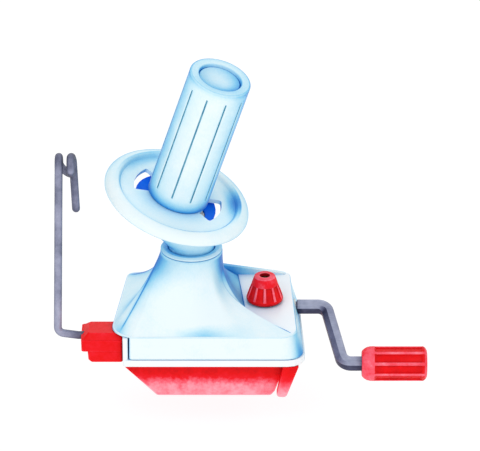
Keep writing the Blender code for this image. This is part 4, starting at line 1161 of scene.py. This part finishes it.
def jaw(red):
    """Red jaw under the base. Its ends slope in toward the bottom."""
    outline = [(-45.2, JAW_TOP), (-45.2, JAW_TOP - 1.4)]
    outline += [(-23.4, JAW_BOTTOM + 0.4), (-22.2, JAW_BOTTOM), (52.2, JAW_BOTTOM), (53.6, JAW_BOTTOM + 0.5)]
    outline += [(55.8, JAW_BOTTOM + 3.2), (62.4, JAW_TOP - 1.2), (62.6, JAW_TOP)]
    solid = placed(prism(outline, -JAW_HALF_DEPTH, JAW_HALF_DEPTH), SIDE_VIEW)
    obj = piece("clamp_jaw_block", solid, [red], "jaw", "clamp_jaw")
    slot_floor = HEAD_SLOT_TOP - 1
    cut(
        obj,
        [
            block(-38.0, 36.0, -31.0, 31.0, JAW_TOP - 1.5, JAW_TOP + 2, 4.0),
            rod((KNOB.x, KNOB.y, slot_floor), (KNOB.x, KNOB.y, JAW_TOP + 2), 3.1),
            block(KNOB.x, 80, KNOB.y - 3.1, KNOB.y + 3.1, slot_floor, JAW_TOP + 2, 0.05, 1),
            block(KNOB.x - 6.3, 80, KNOB.y - 5.6, KNOB.y + 5.6, HEAD_SLOT_TOP - 5.6, HEAD_SLOT_TOP, 0.5, 2),
        ],
        smooth_deg=20,
    )
    soften(obj, 0.5, 35, 3)


def legs(red):
    """Two slanted guide legs under the crank end."""
    outline = [(61.2, -0.3), (71.4, -0.3), (71.6, -1.2)]
    outline += arc((61.3, -20.6), 3.0, -18, -80, 8)
    outline += arc((59.6, -21.0), 2.6, -110, -168, 8)
    for name, front in (("front", -46.2), ("back", 38.4)):
        leg = placed(prism(outline, 0, 7.8), placement_of((0, front + 7.8, 0), (0, -1, 0), (1, 0, 0)))
        obj = piece(f"guide_leg_{name}", leg, [red], "base", f"clamp_leg_{name}")
        soften(obj, 1.2, 40, 4)


# ---------------- yarn guide


def arm_holder(red):
    """Stepped block on the end wall that the guide arm plugs into."""
    levels = [
        (0.0, -67.3, -40.0, -17.4),
        (1.6, -68.8, -40.4, -16.8),
        (8.1, -69.3, -40.4, -16.8),
        (8.3, -73.3, -41.0, -15.6),
        (16.3, -73.5, -41.0, -15.6),
        (16.5, -72.6, -40.4, -16.2),
        (20.4, -68.5, -37.2, -20.4),
    ]
    wall_side = END_FACE_X - 0.3
    rings = [at_height(box_outline(x, wall_side, front, back, 1.8, 6), z) for z, x, front, back in levels]
    obj = piece("arm_holder_block", loft(rings), [red], "base", "guide_arm_holder", 30)
    tongue_hole = ARM_RADIUS + 0.2
    cut(obj, [rod((-80, ARM_Y, ARM_Z), (-52, ARM_Y, ARM_Z), tongue_hole)], 30)
    soften(obj, 0.35, 35, 3)


def guide_arm(wire):
    """One bent wire: pivot leg, upright, one and a half turn eye and a hanging tail with a round tip."""
    coil = 5.5
    coil_y = ARM_Y + coil
    coil_z = ARM_TOP - coil - ARM_RADIUS
    pitch = 7.8
    corners = [
        (-52.6, ARM_Y, ARM_Z),
        (-75.5, ARM_Y, ARM_Z),
        (ARM_X, ARM_Y, ARM_Z + 2.0),
        (ARM_TOP_X, ARM_Y, coil_z),
    ]
    path = bent_path(corners, [8.0, 4.6], 14)
    turns_deg = 540
    steps = 90
    for i in range(1, steps + 1):
        angle = turns_deg * i / steps
        shift = pitch * smoothstep((angle - 185) / 120) + 1.2 * min(max((angle - 450) / 90, 0), 1)
        turn = math.radians(angle)
        y = coil_y - coil * math.cos(turn)
        z = coil_z + coil * math.sin(turn)
        path.append(Vector((ARM_TOP_X + shift, y, z)))
    tail = path[-1]
    for share in (0.2, 0.45, 0.7, 0.9, 1.0):
        path.append(tail + Vector((1.5 * share, 0, -36.5 * share)))

    def dome(ring, side):
        """Rings that round off an end. Side is 1 where the path ends, -1 where it starts."""
        centre = sum(ring, Vector()) / len(ring)
        outward = (ring[0] - centre).cross(ring[8] - centre).normalized() * side
        made = []
        for up, across in sine_pairs(0, 20, 40, 60, 80):
            sink = outward * ARM_RADIUS * (up - 1.0)
            made.append([centre + sink + (point - centre) * across for point in ring])
        return made

    section = circle(ARM_RADIUS, 32)
    rings = [in_frame(frame, section) for frame in frames_along(path, (0, 1, 0))]
    solid = loft(dome(rings[0], -1)[::-1] + rings[1:-1] + dome(rings[-1], 1))

    def darker_ends(co):
        """Painted shade: the hanging tail and the top of the upright are darker than the rest."""
        if co.x > ARM_TOP_X + 5 and co.z < coil_z - 3:
            return 0.3
        return 0.25 * smoothstep((co.z - coil_z + 6) / 12)

    shade_by(solid, darker_ends)
    piece("guide_arm_wire", solid, [wire], "yarn_guide", "guide_arm", 50)


# ---------------- stage


def pale_floor():
    """The jaw opens downward past its rest height, so the floor lies low enough to leave it room."""
    grid = bmesh.new()
    bmesh.ops.create_grid(grid, x_segments=1, y_segments=1, size=FLOOR_HALF_SIZE)
    mesh = bpy.data.meshes.new("floor")
    grid.to_mesh(mesh)
    grid.free()
    floor = new_object("floor", mesh)
    floor.location = (0, 0, -JAW_OPENING * MM)
    s = Shader("pale_floor")
    s.set(Base_Color=rgb(0x7C7D7E), Roughness=0.9, Specular_IOR_Level=0.0)
    s.set(Emission_Color=(1, 1, 1, 1), Emission_Strength=0.86)
    mesh.materials.append(s.material)


def studio_light():
    world = bpy.data.worlds.new("studio")
    world.use_nodes = True
    bpy.context.scene.world = world
    background = world.node_tree.nodes["Background"]
    background.inputs["Color"].default_value = (1.0, 1.0, 1.0, 1.0)
    background.inputs["Strength"].default_value = 0.74
    for name, place, size, power in LIGHTS:
        light = bpy.data.lights.new(name, "AREA")
        light.size = size
        light.energy = power
        lamp = new_object(name, light)
        lamp.location = place
        toward = Vector((0, 0, 0.1)) - Vector(place)
        lamp.rotation_euler = toward.to_track_quat("-Z", "Y").to_euler()


def front_camera():
    camera = bpy.data.cameras.new("camera")
    camera.lens = CAMERA_LENS
    camera.sensor_width = 36.0
    camera.clip_end = 50.0
    eye = new_object("camera", camera)
    eye.location = CAMERA_PLACE
    eye.rotation_euler = (math.pi / 2 - math.radians(CAMERA_RISE_DEG), 0, 0)
    bpy.context.scene.camera = eye
    bpy.context.scene.view_settings.view_transform = "Standard"


def build():
    ice = ice_plastic("ice_blue_plastic_look")
    # The core's copy gets deeper painted shade toward its silhouettes.
    core_ice = ice_plastic("ice_blue_core_look", 0.0, 1.6, 0.98)
    red = red_plastic("red_plastic_look")
    # Copies of the red plastic for painted light: pinker and lighter ones as painted highlights, a deeper
    # one as painted shade in the knob's hole.
    pink = red_plastic("red_plastic_highlight_look", 0.38)
    upper_highlight_red = red_plastic("red_plastic_upper_highlight_look", 0.2)
    hole_shade_red = red_plastic("red_plastic_hole_shade_look", -0.35)
    plain_steel = brushed_steel("machine_steel_look", 1.0)
    nylon = worn_nylon("white_nylon_look")

    housing_shell(ice, deck_plastic("pale_deck_look"))
    back_rim(ice)
    collar(ice_plastic("ice_blue_collar_look", 0.14))
    # A darker copy of the ice plastic for the neck: painted shade under the flange.
    rotor_head(ice_plastic("ice_blue_neck_look", 0.2))
    flange(ice)
    core(core_ice, groove_shade_plastic("groove_shade_teal_look"))
    end_plug(core_ice)
    crank(brushed_steel("crank_steel_look"))
    crank_bearing(nylon)
    grip(red, pink)
    knob(red, pink, hole_shade_red, upper_highlight_red)
    # The jaw and the legs pale toward their bottoms: a painted highlight.
    jaw(red_plastic("red_jaw_look", 0.0, (6.0, 19.0)))
    legs(red_plastic("red_leg_look", 0.03, (4.0, 24.0)))
    arm_holder(red_plastic("red_holder_look", 0.12))
    guide_arm(painted_wire("violet_grey_wire_look"))

    screws = [f"cover_screw_{i}" for i in (1, 2, 3, 4)]
    dress(white_plastic("white_plastic_look"), "base_plate")
    dress(plain_steel, "center_post", "layshaft_pin", "crank_stop_ring", "rotor_tube", "spool_spindle")
    dress(plain_steel, "clamp_bolt", *screws)
    dress(nylon, "sun_gear", "planet_gear", "layshaft_spur_gear", "rotor_pinion")
    dress(nylon, "spool_upper_bush", "spool_lower_bush")
    dress(brass_metal("brass_look"), "crank_bevel_gear", "layshaft_bevel_gear", "knob_thread_sleeve")
    dress(black_rubber("black_rubber_look"), "jaw_pad")
    # Painted shade: the rotor plate shows through the flange windows in dark royal blue.
    dress(royal_blue_shade_plastic("royal_blue_shade_look"), "rotor_plate")

    pale_floor()
    studio_light()
    front_camera()


build()
